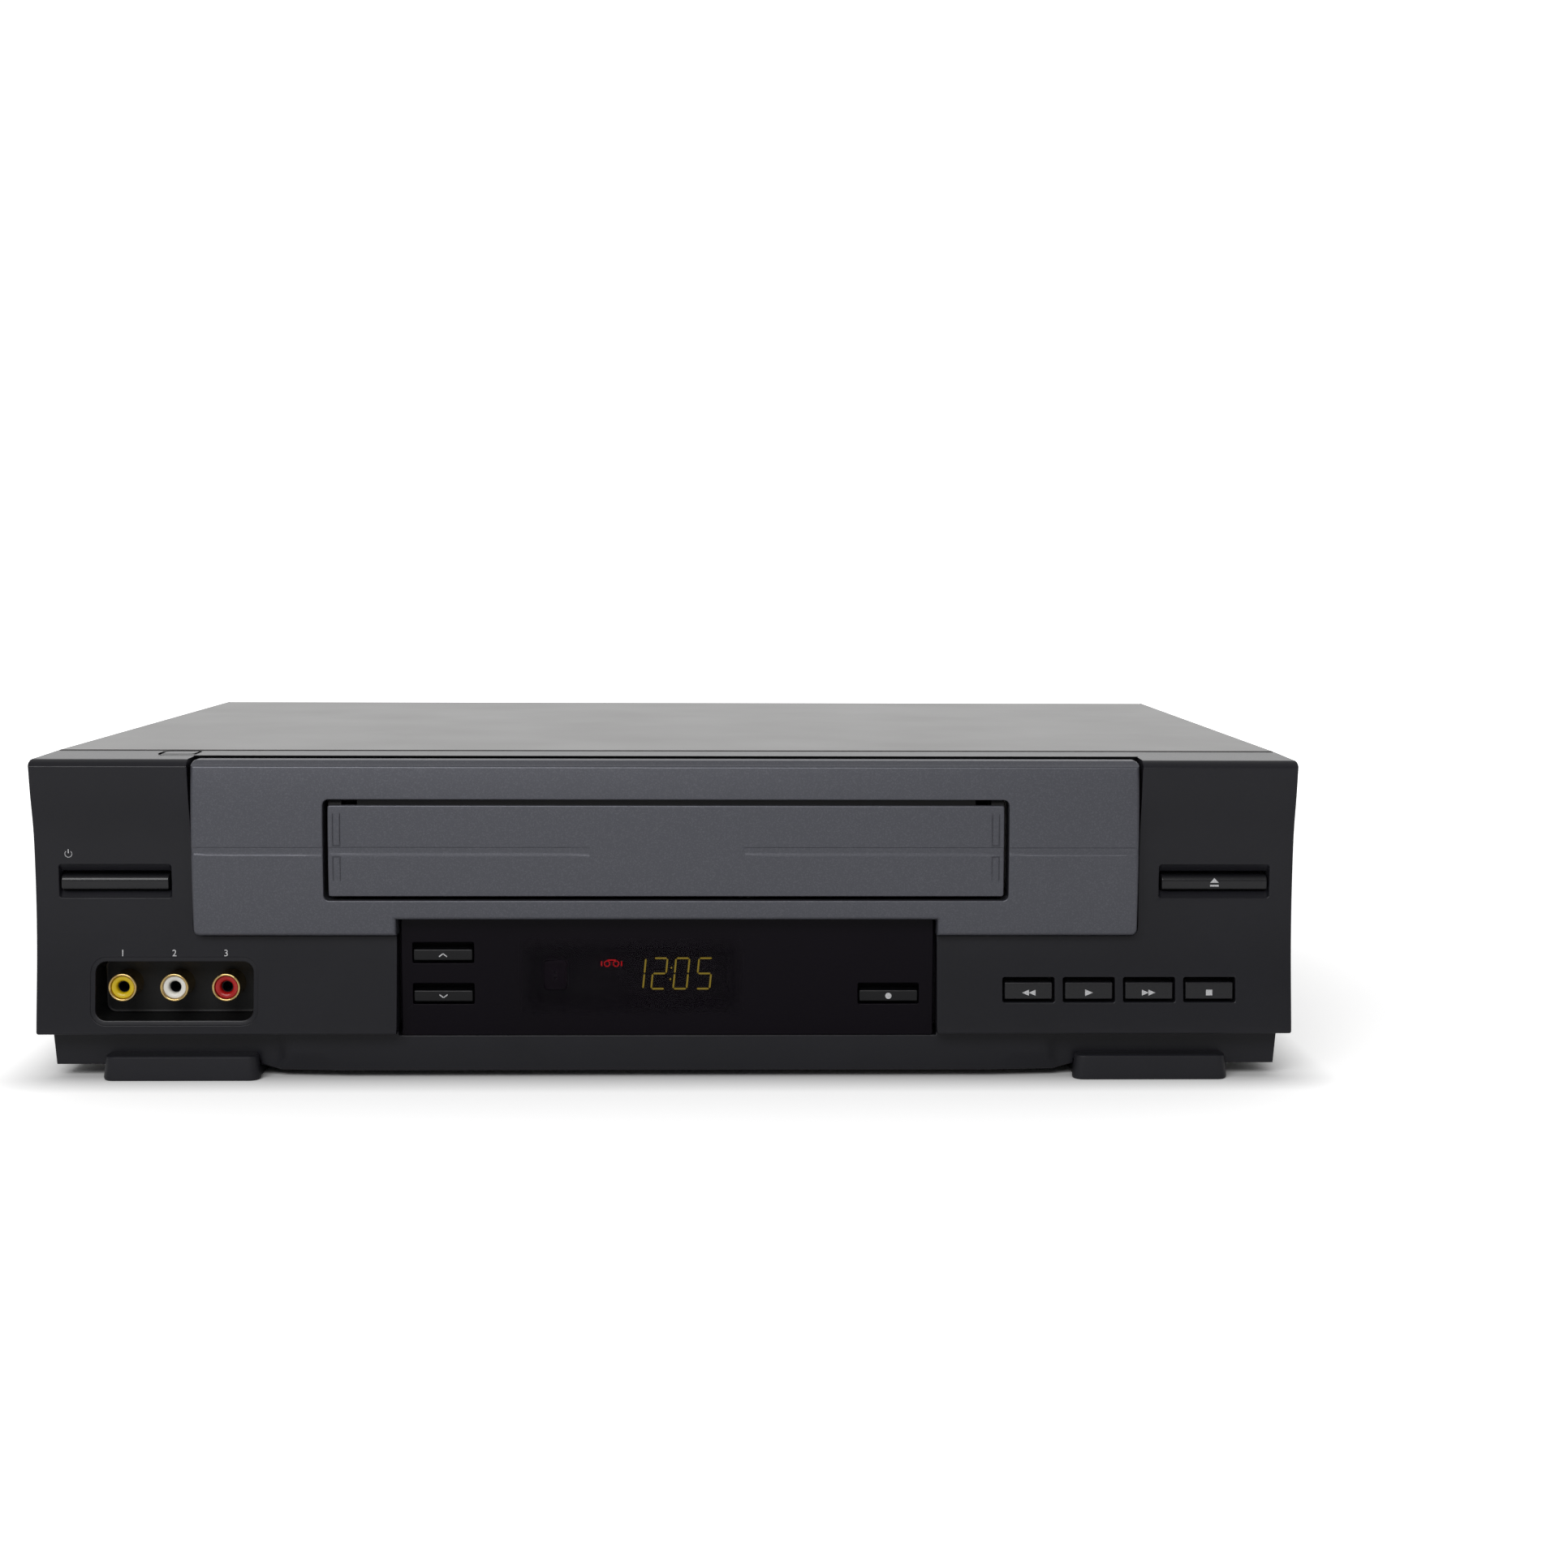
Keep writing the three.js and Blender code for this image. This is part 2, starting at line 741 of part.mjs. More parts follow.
const pockets = both.map(widePocket);
const recess = [recessLeft, recessRight];
const socketPlaces = [0, 1, 2].map((i) => socketMiddle + (i - 1) * socketPitch);
const recessWell = block([recessLeft - panelWall, recessRight + panelWall], [faceAt(recessHigh), recessFloor + panelWall],
  [recessLow - panelWall / 2, recessHigh + panelWall]);
const recessPocket = alongY(roundedRect(recess, [recessLow, recessHigh], recessCorner, recessCorner), [0, recessFloor]);
const recessHoles = socketPlaces.map((x) => rodY(x, [recessFloor - cutOver, recessFloor + panelWall + cutOver],
  socketLevel, shellRadius + fitGap));
const keyPlaces = [0, 1, 2, 3].map((i) => keyStart + i * keyPitch);
const keyHoles = keyPlaces.map((x) => block(spread(x, keyHoleHalf), [0, panelDepth], [keyHoleLow, keyHoleHigh]));
const doorway = block(openX, [0, panelDepth], [openingLow - cutOver, hingeSpace - fitGap]);
const fasciaPockets = [
  block(fasciaBay, [-cutOver, wallInner], [fasciaBottom - fasciaGap, bevelTop - panelWall]),
  block(fasciaBay, [-cutOver, fasciaLip + fitGap], [fasciaBottom - fasciaGap, machineHeight + cutOver]),
];
const windowCuts = [
  block(windowBay, [-cutOver, windowSeat], [windowLow - slideGap, windowHigh + slideGap]),
  block(spread(0, windowHalf - windowRim), [0, panelDepth], [windowLow + windowRim, windowHigh - windowRim]),
];

const frontPanel = cut(
  join([frontShell(), plinth(), fasciaSeat, windowFrame, recessWell, ...pockets.map((pocket) => pocket.well)]),
  [...fasciaPockets, doorway, ...windowCuts, recessPocket, ...recessHoles, ...keyHoles,
    ...pockets.flatMap((pocket) => pocket.cuts)],
);
addPiece('front_panel', frontPanel, blackPlastic);

// Silver fascia with the door's opening and the ears that hold the door's pins
function fascia() {
  const back = fasciaDepth;
  const side = outline([
    [back, fasciaBottom],
    [crownAt(fasciaBottom) + fasciaFoot, fasciaBottom],
    ...crownPoints(fasciaBottom + fasciaFoot, fasciaCrease, 0),
    [fasciaLip, fasciaTop],
    [fasciaLip, bevelTop - panelWall - fitGap],
    [back, bevelTop - panelWall - fitGap],
  ]);
  const front = roundedRect([-fasciaHalf, fasciaHalf], [fasciaBottom, fasciaTop], fasciaFoot, fasciaCorner);
  const body = alongX(side, [-fasciaHalf, fasciaHalf]).intersect(alongY(front, [-cutOver, machineDepth]));
  const opening = alongY(roundedRect([-openingHalf, openingHalf], [openingLow, openingHigh], fasciaWall, fasciaWall),
    [-cutOver, back + cutOver]);
  const doorRoom = block(spread(0, openingHalf), [crownAt(openingHigh) + fasciaWall, back + cutOver],
    [openingLow + fasciaWall, hingeSpace]);
  const earOuter = openingHalf + hingeEar;
  const hollows = both.map((way) => block(mirrored(way, [earOuter, fasciaHalf - fasciaWall]),
    [crownAt(fasciaCrease) + fasciaWall, back + cutOver], [windowHigh + panelWall, hingeSpace]));
  const notch = block(windowBay, [-cutOver, back + cutOver], [0, windowHigh + fasciaGap]);
  const groove = block(spread(0, machineHalf), [-cutOver, grooveDepth], [grooveLow, grooveHigh]);
  const pinHoles = both.map((way) => rodX(mirrored(way, [openingHalf - cutOver, earOuter + cutOver]),
    hingeDepth, hingeHeight, hingePin + fitGap));
  return cut(body, [opening, doorRoom, ...hollows, notch, groove, ...pinHoles]);
}
addPiece('silver_fascia', fascia(), silverPaint);

// Cassette door with its two arms and pins
function door() {
  const back = doorSink + doorThick;
  const side = outline([
    [back, doorLow], ...crownPoints(doorLow, doorHigh, doorSink), [back, doorHigh],
  ]);
  const plate = alongX(side, spread(0, doorHalf));
  const arm = outline([
    [back - doorSink, doorHigh - doorArm], [back - doorSink, doorHigh - fitGap],
    [hingeDepth - hingePin, hingeHeight - fitGap], [hingeDepth + hingePin, hingeHeight - fitGap],
    [hingeDepth + hingePin, hingeHeight - doorArm / 2], [back + hingePin, doorHigh - doorArm],
  ]);
  const arms = both.flatMap((way) => [
    alongX(arm, mirrored(way, [doorHalf - doorArm, doorHalf])),
    rodX(mirrored(way, [doorHalf - doorArm, doorHalf]), hingeDepth, hingeHeight, hingeBoss),
    rodX(mirrored(way, [doorHalf - fitGap, openingHalf + hingeEar]), hingeDepth, hingeHeight, hingePin),
  ]);
  const springPin = rodX([-doorHalf + doorArm - fitGap, -doorHalf + doorArm + springLength + slideGap],
    hingeDepth, hingeHeight, hingePin);
  const grooves = both.map((way) => block(mirrored(way, [doorPlainHalf, machineHalf]),
    [-cutOver, doorSink + grooveDepth], [grooveLow, grooveHigh]));
  return cut(join([plate, ...arms, springPin]), grooves);
}
addPiece('cassette_door', door(), silverPaint);

function doorSpring() {
  const low = -doorHalf + doorArm + fitGap;
  const inner = hingePin + fitGap / 2;
  const outer = inner + springWire;
  const coil = rodX([low, low + springLength], hingeDepth, hingeHeight, outer)
    .subtract(rodX([low - cutOver, low + springLength + cutOver], hingeDepth, hingeHeight, inner));
  const leg = block([low, low + springWire * 2], [hingeDepth + inner, hingeDepth + outer],
    [hingeHeight, hingeSpace - fitGap]);
  return coil.add(leg);
}
addPiece('door_spring', doorSpring(), steel);

// Display window with the holes of its three keys, and the tube behind it
const paneKeys = [
  ['channel_up_button', channelCentre, channelUpLevel],
  ['channel_down_button', channelCentre, channelDownLevel],
  ['record_button', recordCentre, channelDownLevel],
];
const paneHoles = paneKeys.map(([, x, z]) => block(spread(x, paneKeyHoleHalf), [0, panelDepth],
  spread(z, paneKeyHoleTall / 2)));
const pane = block(spread(0, windowHalf), [windowFront, windowFront + windowThick], [windowLow, windowHigh]);
addPiece('display_window', cut(pane, paneHoles), smokedPane);

const tubeRear = frontBoard - fitGap;
addPiece('display_tube', join([
  block(spread(0, tubeHalf), [tubeRear - tubeDepth, tubeRear - boardThick], [tubeLow, tubeHigh]),
  block(spread(0, tubeHalf - tubeDepth), [tubeRear - tubeDepth, tubeRear],
    [tubeLow + boardThick, tubeHigh - boardThick]),
]), glass);

// Push buttons: a cap with a stem that reaches the front board
const stemEnd = frontBoard - buttonTravel - fitGap;

function addButton(name, x, half, front, [low, high], finish) {
  const cap = block(spread(x, half), [front, front + wideProud + wallInner], [low, high]);
  const stem = block(spread(x, stemHalf), [front, stemEnd], spread((low + high) / 2, (high - low) / 4));
  addPiece(name, cap.add(stem), finish);
}

const wideFront = faceAt(wideLow) - fitGap;
addButton('power_button', -wideCentre, wideHalf, wideFront, [wideLow, wideHigh], blackPlastic);
addButton('eject_button', wideCentre, wideHalf, wideFront, [wideLow, wideHigh], blackPlastic);
const keyFront = faceAt(keyLow) + keySink;
['rewind_button', 'play_button', 'fast_forward_button', 'stop_button'].forEach((name, i) => {
  addButton(name, keyPlaces[i], keyHalf, keyFront, [keyLow, keyHigh], blackPlastic);
});
paneKeys.forEach(([name, x, z]) => {
  const middle = z - paneKeyDrop;
  addButton(name, x, paneKeyHalf, windowFront - paneKeyProud, spread(middle, paneKeyTall / 2), glossBlack);
});

// Front sockets: a black block, three gilt shells and three coloured inserts
const blockFront = recessFloor + panelWall + fitGap;
addPiece('front_jack_block', block([recessLeft + recessCorner, recessRight - recessCorner],
  [blockFront, frontBoard - fitGap], spread(socketLevel, shellRadius * 2)), blackPlastic);
const shellEnd = blockFront - fitGap;
const sockets = [['video', yellowPlastic], ['left', whitePlastic], ['right', redPlastic]];
sockets.forEach(([channel, finish], i) => {
  const x = socketPlaces[i];
  const bore = shellRadius - shellWall;
  const shell = rodY(x, [shellFront, shellEnd], socketLevel, shellRadius, roundSides)
    .subtract(rodY(x, [shellFront - cutOver, shellEnd + cutOver], socketLevel, bore, roundSides));
  addPiece(`front_jack_shell_${channel}`, shell, gold);
  const insert = rodY(x, [shellFront + insertSink, shellEnd], socketLevel, bore - insertGap, roundSides)
    .subtract(rodY(x, [shellFront, shellFront + insertBoreDepth], socketLevel, insertBore));
  addPiece(`front_jack_insert_${channel}`, insert, finish);
});

// Circuit boards
addPiece('front_board', block(spread(0, frontBoardHalf), [frontBoard, frontBoard + boardThick],
  [panelBottom + panelWall + fitGap, frontBoardHigh]), boardGreen);

// Main board with the power parts soldered to it: a transformer, a capacitor and a finned heat sink
function transformer() {
  const wide = [coreLeft, coreLeft + coreWide];
  const deep = [coreFront, coreFront + coreDeep];
  const core = block(wide, deep, [mainBoardLevel + windingInset, mainBoardLevel + coreTall - windingInset]);
  const winding = block([wide[0] + windingInset, wide[1] - windingInset], [deep[0] - windingInset, deep[1] + windingInset],
    [mainBoardLevel, mainBoardLevel + coreTall]);
  return core.add(winding);
}

function heatSink() {
  const tall = [mainBoardLevel, mainBoardLevel + sinkTall];
  const plate = block([sinkLeft, sinkLeft + sinkPlate], [sinkFront, sinkFront + sinkDeep], tall);
  const step = (sinkDeep - sinkPlate) / (finCount - 1);
  const fins = Array.from({ length: finCount }, (_, i) => block([sinkLeft, sinkLeft + sinkWide],
    [sinkFront + i * step, sinkFront + i * step + sinkPlate], tall));
  return join([plate, ...fins]);
}

const deckHoles = deckPostPlaces.map(([x, y]) => rodZ(x, y, [0, machineHeight], bossRadius + slideGap));
const bareBoard = block(spread(0, mainBoardHalf), [mainBoardFront, mainBoardRear], [mainBoardLevel, boardTop]);
const capacitor = rodZ(...capacitorPlace, [mainBoardLevel, mainBoardLevel + capacitorTall], capacitorRadius, roundSides);
addPiece('main_board', join([cut(bareBoard, deckHoles), transformer(), capacitor, heatSink()]), boardGreen);

// Sheet metal cover: a bent U with a lip down its rear edge
const screwLevel = machineHeight - coverLip / 2;
const coverFront = panelDepth + fitGap;

function cover() {
  const outer = roundedRect([-coverHalf, coverHalf], [coverBottom, machineHeight], 0, coverBend);
  const inner = roundedRect([-coverHalf + sheet, coverHalf - sheet], [0, machineHeight - sheet], 0, coverBend - sheet);
  const skin = alongY(outer, [coverFront, coverRear]).subtract(alongY(inner, [0, coverRear + cutOver]));
  const lip = block(spread(0, coverHalf - sheet / 2), [coverRear - sheet, coverRear],
    [machineHeight - coverLip, machineHeight - sheet / 2]);
  const holes = both.map((way) => rodY(way * screwSpread, [rearInner, coverRear + cutOver], screwLevel,
    screwShank + fitGap));
  const vents = Array.from({ length: ventCount }, (_, i) => ventFront + i * ventPitch).map((y) => block(
    spread(0, machineHalf), spread(y, ventWidth / 2), [ventLow, ventHigh]));
  return cut(skin.add(lip), [...holes, ...vents]);
}
addPiece('top_cover', cover(), coverPaint);

both.forEach((way) => {
  const x = way * screwSpread;
  const head = rodY(x, [coverRear, coverRear + screwHeadTall], screwLevel, screwHead);
  const shank = rodY(x, [coverRear - screwLength, coverRear + screwHeadTall / 2], screwLevel, screwShank);
  const slot = block(spread(x, screwHead * 2), [coverRear + screwHeadTall / 2, coverRear + screwHeadTall + cutOver],
    spread(screwLevel, sheet / 2));
  addPiece(way < 0 ? 'cover_screw_left' : 'cover_screw_right', head.add(shank).subtract(slot), steel);
});

// Bottom plate with side flanges, bosses under the main board and posts under the deck
function bottomPlate() {
  const half = coverHalf - sheet - fitGap;
  const rear = rearInner - fitGap;
  const level = [baseLevel, baseTop];
  const floor = block(spread(0, half), [coverFront, rear], level);
  const tongue = block(spread(0, baseTongueHalf), [plinthFront + panelWall + fitGap, coverFront + cutOver], level);
  const flanges = both.map((way) => block(mirrored(way, [half - baseSheet, half]), [coverFront, rear],
    [baseLevel, baseLevel + baseFlange]));
  const bosses = both.flatMap((way) => [mainBoardFront, mainBoardRear].map((y) => rodZ(
    way * (mainBoardHalf - bossRadius * 2),
    y + (y === mainBoardFront ? bossRadius : -bossRadius * 2),
    [baseLevel, mainBoardLevel - fitGap], bossRadius)));
  const posts = deckPostPlaces.map(([x, y]) => rodZ(x, y, [baseLevel, deckLevel - fitGap], bossRadius));
  const holes = both.flatMap((way) => [
    rodZ(way * footCentre, (footRear + coverFront) / 2, [0, baseTop + cutOver], footPlug + fitGap),
    rodZ(way * footCentre, rearFootPlace, [0, baseTop + cutOver], footPlug + fitGap),
  ]);
  return cut(join([floor, tongue, ...flanges, ...bosses, ...posts]), holes);
}
addPiece('bottom_plate', bottomPlate(), steel);

// Feet, each with a plug that snaps into the bottom plate
both.forEach((way) => {
  const side = way < 0 ? 'left' : 'right';
  const x = way * footCentre;
  const under = [0, baseLevel - fitGap];
  const behind = plinthFront + panelWall;
  const plan = roundedRect(spread(x, footHalf), [footFront, footRear], footCorner, footCorner);
  const ledge = block(spread(x, footHalf * 2), [behind, footRear + cutOver], [under[1], footTall + cutOver]);
  const plug = rodZ(x, (footRear + coverFront) / 2, [0, footPlugTall], footPlug);
  addPiece(`front_foot_${side}`, alongZ(plan, [0, footTall]).subtract(ledge).add(plug), rubber);
  addPiece(`rear_foot_${side}`, rodZ(x, rearFootPlace, under, rearFootRadius, roundSides)
    .add(rodZ(x, rearFootPlace, [0, footPlugTall], footPlug)), rubber);
});

// Rear panel with the holes for its sockets, switch, bush and screws
const aerialLevels = [aerialLow, aerialHigh];
const rearSocketPlaces = [0, 1, 2].map((i) => rearSocketStart + i * rearSocketPitch);
const rearSockets = rearSocketPlaces.flatMap((x) => [rearSocketLow, rearSocketHigh].map((z) => [x, z]));
const knobLeft = switchLeft + (switchWide - switchKnob) / 2;
const throughRear = [rearInner - cutOver, rearOuter + cutOver];

function rearPanel() {
  const sheetMetal = block(spread(0, coverHalf - sheet - fitGap), [rearInner, rearOuter],
    [coverBottom, machineHeight - sheet - fitGap]);
  const holes = [
    ...aerialLevels.map((z) => rodY(aerialPlace, throughRear, z, aerialNut + fitGap)),
    ...rearSockets.map(([x, z]) => rodY(x, throughRear, z, shellRadius + fitGap)),
    ...both.map((way) => rodY(way * screwSpread, throughRear, screwLevel, screwShank + fitGap)),
    rodY(bushPlace, throughRear, bushLevel, bushNeck + fitGap),
    block([knobLeft - fitGap, knobLeft + switchKnob + switchTravel + fitGap], throughRear,
      spread(switchLevel, switchKnobTall / 2 + fitGap)),
  ];
  return cut(sheetMetal, holes);
}
addPiece('rear_panel', rearPanel(), coverPaint);

// Tuner box with two threaded aerial sockets and the channel switch beside them
const boxRear = rearInner - fitGap;
const switchRear = boxRear - fitGap;

function tunerBox() {
  const can = block([tunerLeft, tunerRight], [tunerFront, boxRear], [boardTop + fitGap, boardTop + tunerTall]);
  const sockets = aerialLevels.flatMap((z) => [
    rodY(aerialPlace, [boxRear - cutOver, rearOuter + aerialNutTall], z, aerialNut, nutSides),
    rodY(aerialPlace, [boxRear - cutOver, machineDepth], z, aerialRadius, roundSides),
  ]);
  const bores = aerialLevels.map((z) => rodY(aerialPlace, [machineDepth - aerialBoreDepth, machineDepth + cutOver],
    z, aerialBore));
  const pocket = block([switchLeft - slideGap, switchLeft + switchWide + switchTravel + slideGap],
    [switchRear - switchDepth - fitGap, boxRear + cutOver], spread(switchLevel, switchTall / 2 + fitGap));
  return cut(join([can, ...sockets]), [...bores, pocket]);
}
addPiece('tuner_box', tunerBox(), steel);
addPiece('channel_selector_switch', block([switchLeft, switchLeft + switchWide], [switchRear - switchDepth, switchRear],
  spread(switchLevel, switchTall / 2)).add(block([knobLeft, knobLeft + switchKnob],
  [switchRear - switchDepth, switchRear + switchKnobReach], spread(switchLevel, switchKnobTall / 2))), blackPlastic);

// Rear socket block: three columns, two rows
function rearJackBlock() {
  const last = rearSocketPlaces[rearSocketPlaces.length - 1];
  const body = block([rearSocketStart - rearBlockEdge, last + rearBlockEdge], [boxRear - rearBlockDeep, boxRear],
    [boardTop + fitGap, rearSocketHigh + rearBlockEdge]);
  const barrels = rearSockets.map(([x, z]) => rodY(x, [boxRear - cutOver, machineDepth], z, shellRadius, roundSides));
  const bores = rearSockets.map(([x, z]) => rodY(x, [machineDepth - insertBoreDepth, machineDepth + cutOver], z,
    insertBore));
  return cut(join([body, ...barrels]), bores);
}
addPiece('rear_jack_block', rearJackBlock(), blackPlastic);

// Cord bush: an empty bush, flanged on both sides of the rear panel
const bushStart = rearInner - fitGap - bushFlangeTall;
const bushEnd = rearOuter + fitGap + bushFlangeTall;
addPiece('power_cord_bush', cut(join([
  rodY(bushPlace, [bushStart, rearInner - fitGap], bushLevel, bushFlange, roundSides),
  rodY(bushPlace, [bushStart, bushEnd], bushLevel, bushNeck, roundSides),
  rodY(bushPlace, [rearOuter + fitGap, bushEnd], bushLevel, bushFlange, roundSides),
]), [rodY(bushPlace, [bushStart - cutOver, bushEnd + cutOver], bushLevel, bushBore)]), rubber);

// Deck plate with its guide tracks, holes and axle posts
const armLevel = deckTop + armLift;
const gearLow = deckTop + fitGap;
const reelSpots = both.map((way) => [way * reelPlace[0], reelPlace[1]]);
const camCentre = [camPlace, wormPlace - wormRadius - camRadius - fitGap];
const camLow = wormLevel - camTall / 2;
const axlePosts = [
  [[0, idlerPivot], armLevel + armThick + slideGap],
  [pinchPivot, armLevel + armThick * 2 + slideGap],
  [tensionPivot, armLevel + armThick + slideGap],
  [camCentre, camLow + camTall + slideGap],
];

function deckPlate() {
  const plan = outline([
    [-deckHalf, deckFront], [deckHalf, deckFront], [deckHalf, deckNotchFront], [deckNotchLeft, deckNotchFront],
    [deckNotchLeft, deckRear], [-deckHalf, deckRear],
  ]);
  const plate = alongZ(plan, [deckLevel, deckTop]);
  const posts = axlePosts.map(([place, top]) => rodZ(...place, [deckLevel, top], axleRadius));
  const tracks = both.map((way) => block(spread(way * guideSide, guidePin + slideGap),
    [guideStart - guidePin - slideGap, guideStart + guideTravel + guidePin + slideGap], [0, machineHeight]));
  const through = [deckLevel - cutOver, deckTop + cutOver];
  const reelHoles = reelSpots.map(([x, y]) => rodZ(x, y, through, reelAxle + fitGap));
  const capstanHole = rodZ(...capstanPlace, through, capstanRadius + slideGap);
  return cut(join([plate, ...posts]), [...tracks, ...reelHoles, capstanHole]);
}
addPiece('deck_plate', deckPlate(), steel);

// Carriage brackets: upright plates, each with a foot and a straight slot for the slider's runners
const sideInner = cassetteHalf + carriageSideGap;
const sideOuter = sideInner + carriageSheet;
const sliderInner = sideOuter + sliderGap;
const sliderOuter = sliderInner + sliderSheet;
const bracketInner = sliderOuter + bracketGap;
const bracketOuter = bracketInner + bracketSheet;
const pinReach = pinRadius + pinPlay;

both.forEach((way) => {
  const upright = block(mirrored(way, [bracketInner, bracketOuter]), [deckFront, bracketRear], [gearLow, bracketHigh]);
  const foot = block(mirrored(way, [bracketInner, bracketInner + bracketFoot]), [deckFront, bracketRear],
    [gearLow, gearLow + bracketSheet]);
  const slot = block(mirrored(way, [bracketInner - cutOver, bracketOuter + cutOver]),
    [runnerPins[0] - pinReach, runnerPins[1] + carriageIn + pinReach], spread(runnerLevel, pinReach));
  addPiece(way < 0 ? 'carriage_bracket_left' : 'carriage_bracket_right', upright.add(foot).subtract(slot), steel);
});

// Carriage slider: a bridge over the cassette holder whose side plates guide the holder's pins
function carriageSlider() {
  const deep = [sliderFront, sliderRear];
  const low = carriageRoof + carriageSheet + slideGap;
  const bridge = block(spread(0, sliderOuter), deep, [low, low + carriageSheet]);
  const cheeks = both.map((way) => block(mirrored(way, [sliderInner, sliderOuter]), deep,
    [sliderLow, low + carriageSheet]));
  const runners = both.flatMap((way) => runnerPins.map((y) => rodX(
    mirrored(way, [sliderOuter - sliderSheet / 2, bracketOuter]), y, runnerLevel, pinRadius)));
  const slots = carriagePins.map((y) => block(spread(0, machineHalf), spread(y, pinReach),
    [carriagePinLevel - carriageDown - pinReach, carriagePinLevel + pinReach]));
  return cut(join([bridge, ...cheeks, ...runners]), slots);
}
addPiece('carriage_slider', carriageSlider(), steel);

// Cassette holder: roof, two sides with ledges that carry the cassette, and two stops at its rear
function cassetteCarriage() {
  const deep = [carriageFront, carriageRear];
  const roofTop = carriageRoof + carriageSheet;
  const floorLow = carriageFloor - carriageSheet;
  const roof = block(spread(0, sideOuter), deep, [carriageRoof, roofTop]);
  const sides = both.flatMap((way) => [
    block(mirrored(way, [sideInner, sideOuter]), deep, [floorLow, roofTop]),
    block(mirrored(way, [sideOuter - ledgeWide, sideOuter]), [carriageFront, ledgeRear], [floorLow, carriageFloor]),
    block(mirrored(way, [sideOuter - stopWide, sideOuter]), [carriageRear - carriageSheet, carriageRear],
      [carriageRoof - stopTall, roofTop]),
    ...carriagePins.map((y) => rodX(mirrored(way, [sideInner + fitGap, sliderOuter]), y, carriagePinLevel,
      pinRadius)),
  ]);
  return join([roof, ...sides]);
}
addPiece('cassette_carriage', cassetteCarriage(), aluminium);

// Reels: a disc, a hub and a spindle with three splines, on an axle through the deck
function reel([x, y]) {
  const hubLow = gearLow + reelDiscTall;
  const spindleLow = hubLow + reelHubTall;
  const splines = [0, 1, 2].map((i) => {
    const angle = (i * 2 * Math.PI) / 3;
    return rodZ(x + reelSpindle * Math.cos(angle), y + reelSpindle * Math.sin(angle),
      [spindleLow - cutOver, spindleLow + reelSpindleTall - reelSpline], reelSpline, splineSides);
  });
  return join([
    rodZ(x, y, [gearLow, hubLow], reelDisc, roundSides * 2),
    rodZ(x, y, [gearLow, spindleLow], reelHub, roundSides),
    rodZ(x, y, [spindleLow - cutOver, spindleLow + reelSpindleTall], reelSpindle, smallSides),
    rodZ(x, y, [deckLevel - deckSheet, gearLow + cutOver], reelAxle),
    ...splines,
  ]);
}
addPiece('supply_reel', reel(reelSpots[0]), gearPlastic);
addPiece('takeup_reel', reel(reelSpots[1]), gearPlastic);

// Idler: an arm that swings a gear between the two reels
const idlerGear = [0, idlerPivot - idlerReach];
addPiece('idler_arm', planArm([0, idlerPivot], idlerGear, [armLevel, armLevel + armThick], armHalf)
  .subtract(rodZ(0, idlerPivot, [deckTop, machineHeight], axleRadius + fitGap))
  .add(rodZ(...idlerGear, [gearLow, armLevel + armThick / 2], axleRadius)), steel);
addPiece('idler_gear', toothedDisc(...idlerGear, [gearLow, armLevel - fitGap], idlerRadius, idlerTeeth, toothTall)
  .subtract(rodZ(...idlerGear, [deckTop, machineHeight], axleRadius + fitGap)), gearPlastic);

// Head drum: a fixed lower half cut level with the deck, and the spinning upper half, on one leaning axis
const drum = new THREE.Group();
drum.position.set(0, drumPlace, deckTop);
drum.rotation.x = -THREE.MathUtils.degToRad(drumLean);
recorder.add(drum);

function lowerDrum() {
  const wall = rodZ(0, 0, [-drumRadius, drumLowerTall], drumRadius, roundSides * 2);
  const bore = rodZ(0, 0, [drumSplit + deckSheet * 2, drumLowerTall + cutOver], drumShaft + fitGap);
  const ground = new THREE.BoxGeometry(machineWidth, machineWidth, machineWidth);
  ground.translate(0, 0, -machineWidth / 2 + fitGap);
  ground.rotateX(THREE.MathUtils.degToRad(drumLean));
  return cut(wall, [bore, toSolid(ground)]);
}

function headDrum() {
  const low = drumLowerTall + drumSplit;
  const top = low + drumUpperTall;
  return join([
    rodZ(0, 0, [low, top], drumRadius, roundSides * 2),
    rodZ(0, 0, [low, top + drumMotorTall], drumMotorRadius, roundSides),
    rodZ(0, 0, [drumSplit + deckSheet * 2 + fitGap, top], drumShaft),
  ]);
}
addPiece('lower_drum', lowerDrum(), aluminium, drum);
addPiece('head_drum', headDrum(), aluminium, drum);

// Tape guides: a base on the deck, a post, and a pin in the track
function tapeGuide(way) {
  const x = way * guideSide;
  const base = block(spread(x, guideBaseHalf), spread(guideStart, guideBaseHalf), [gearLow, gearLow + guideBaseTall]);
  const post = rodZ(x, guideStart, [gearLow, gearLow + guidePostTall], guidePost);
  const pin = rodZ(x, guideStart, [deckTop - guidePinDrop, gearLow + cutOver], guidePin);
  return join([base, post, pin]);
}
addPiece('supply_guide', tapeGuide(-1), steel);
addPiece('takeup_guide', tapeGuide(1), steel);

// Capstan: a shaft with its flywheel under the deck, over the motor's plate and three posts
const flywheelSpan = [flywheelLow, flywheelLow + flywheelTall];
addPiece('capstan', rodZ(...capstanPlace, flywheelSpan, flywheelRadius, roundSides * 2)
  .add(rodZ(...capstanPlace, [flywheelLow, capstanTop], capstanRadius)), steel);

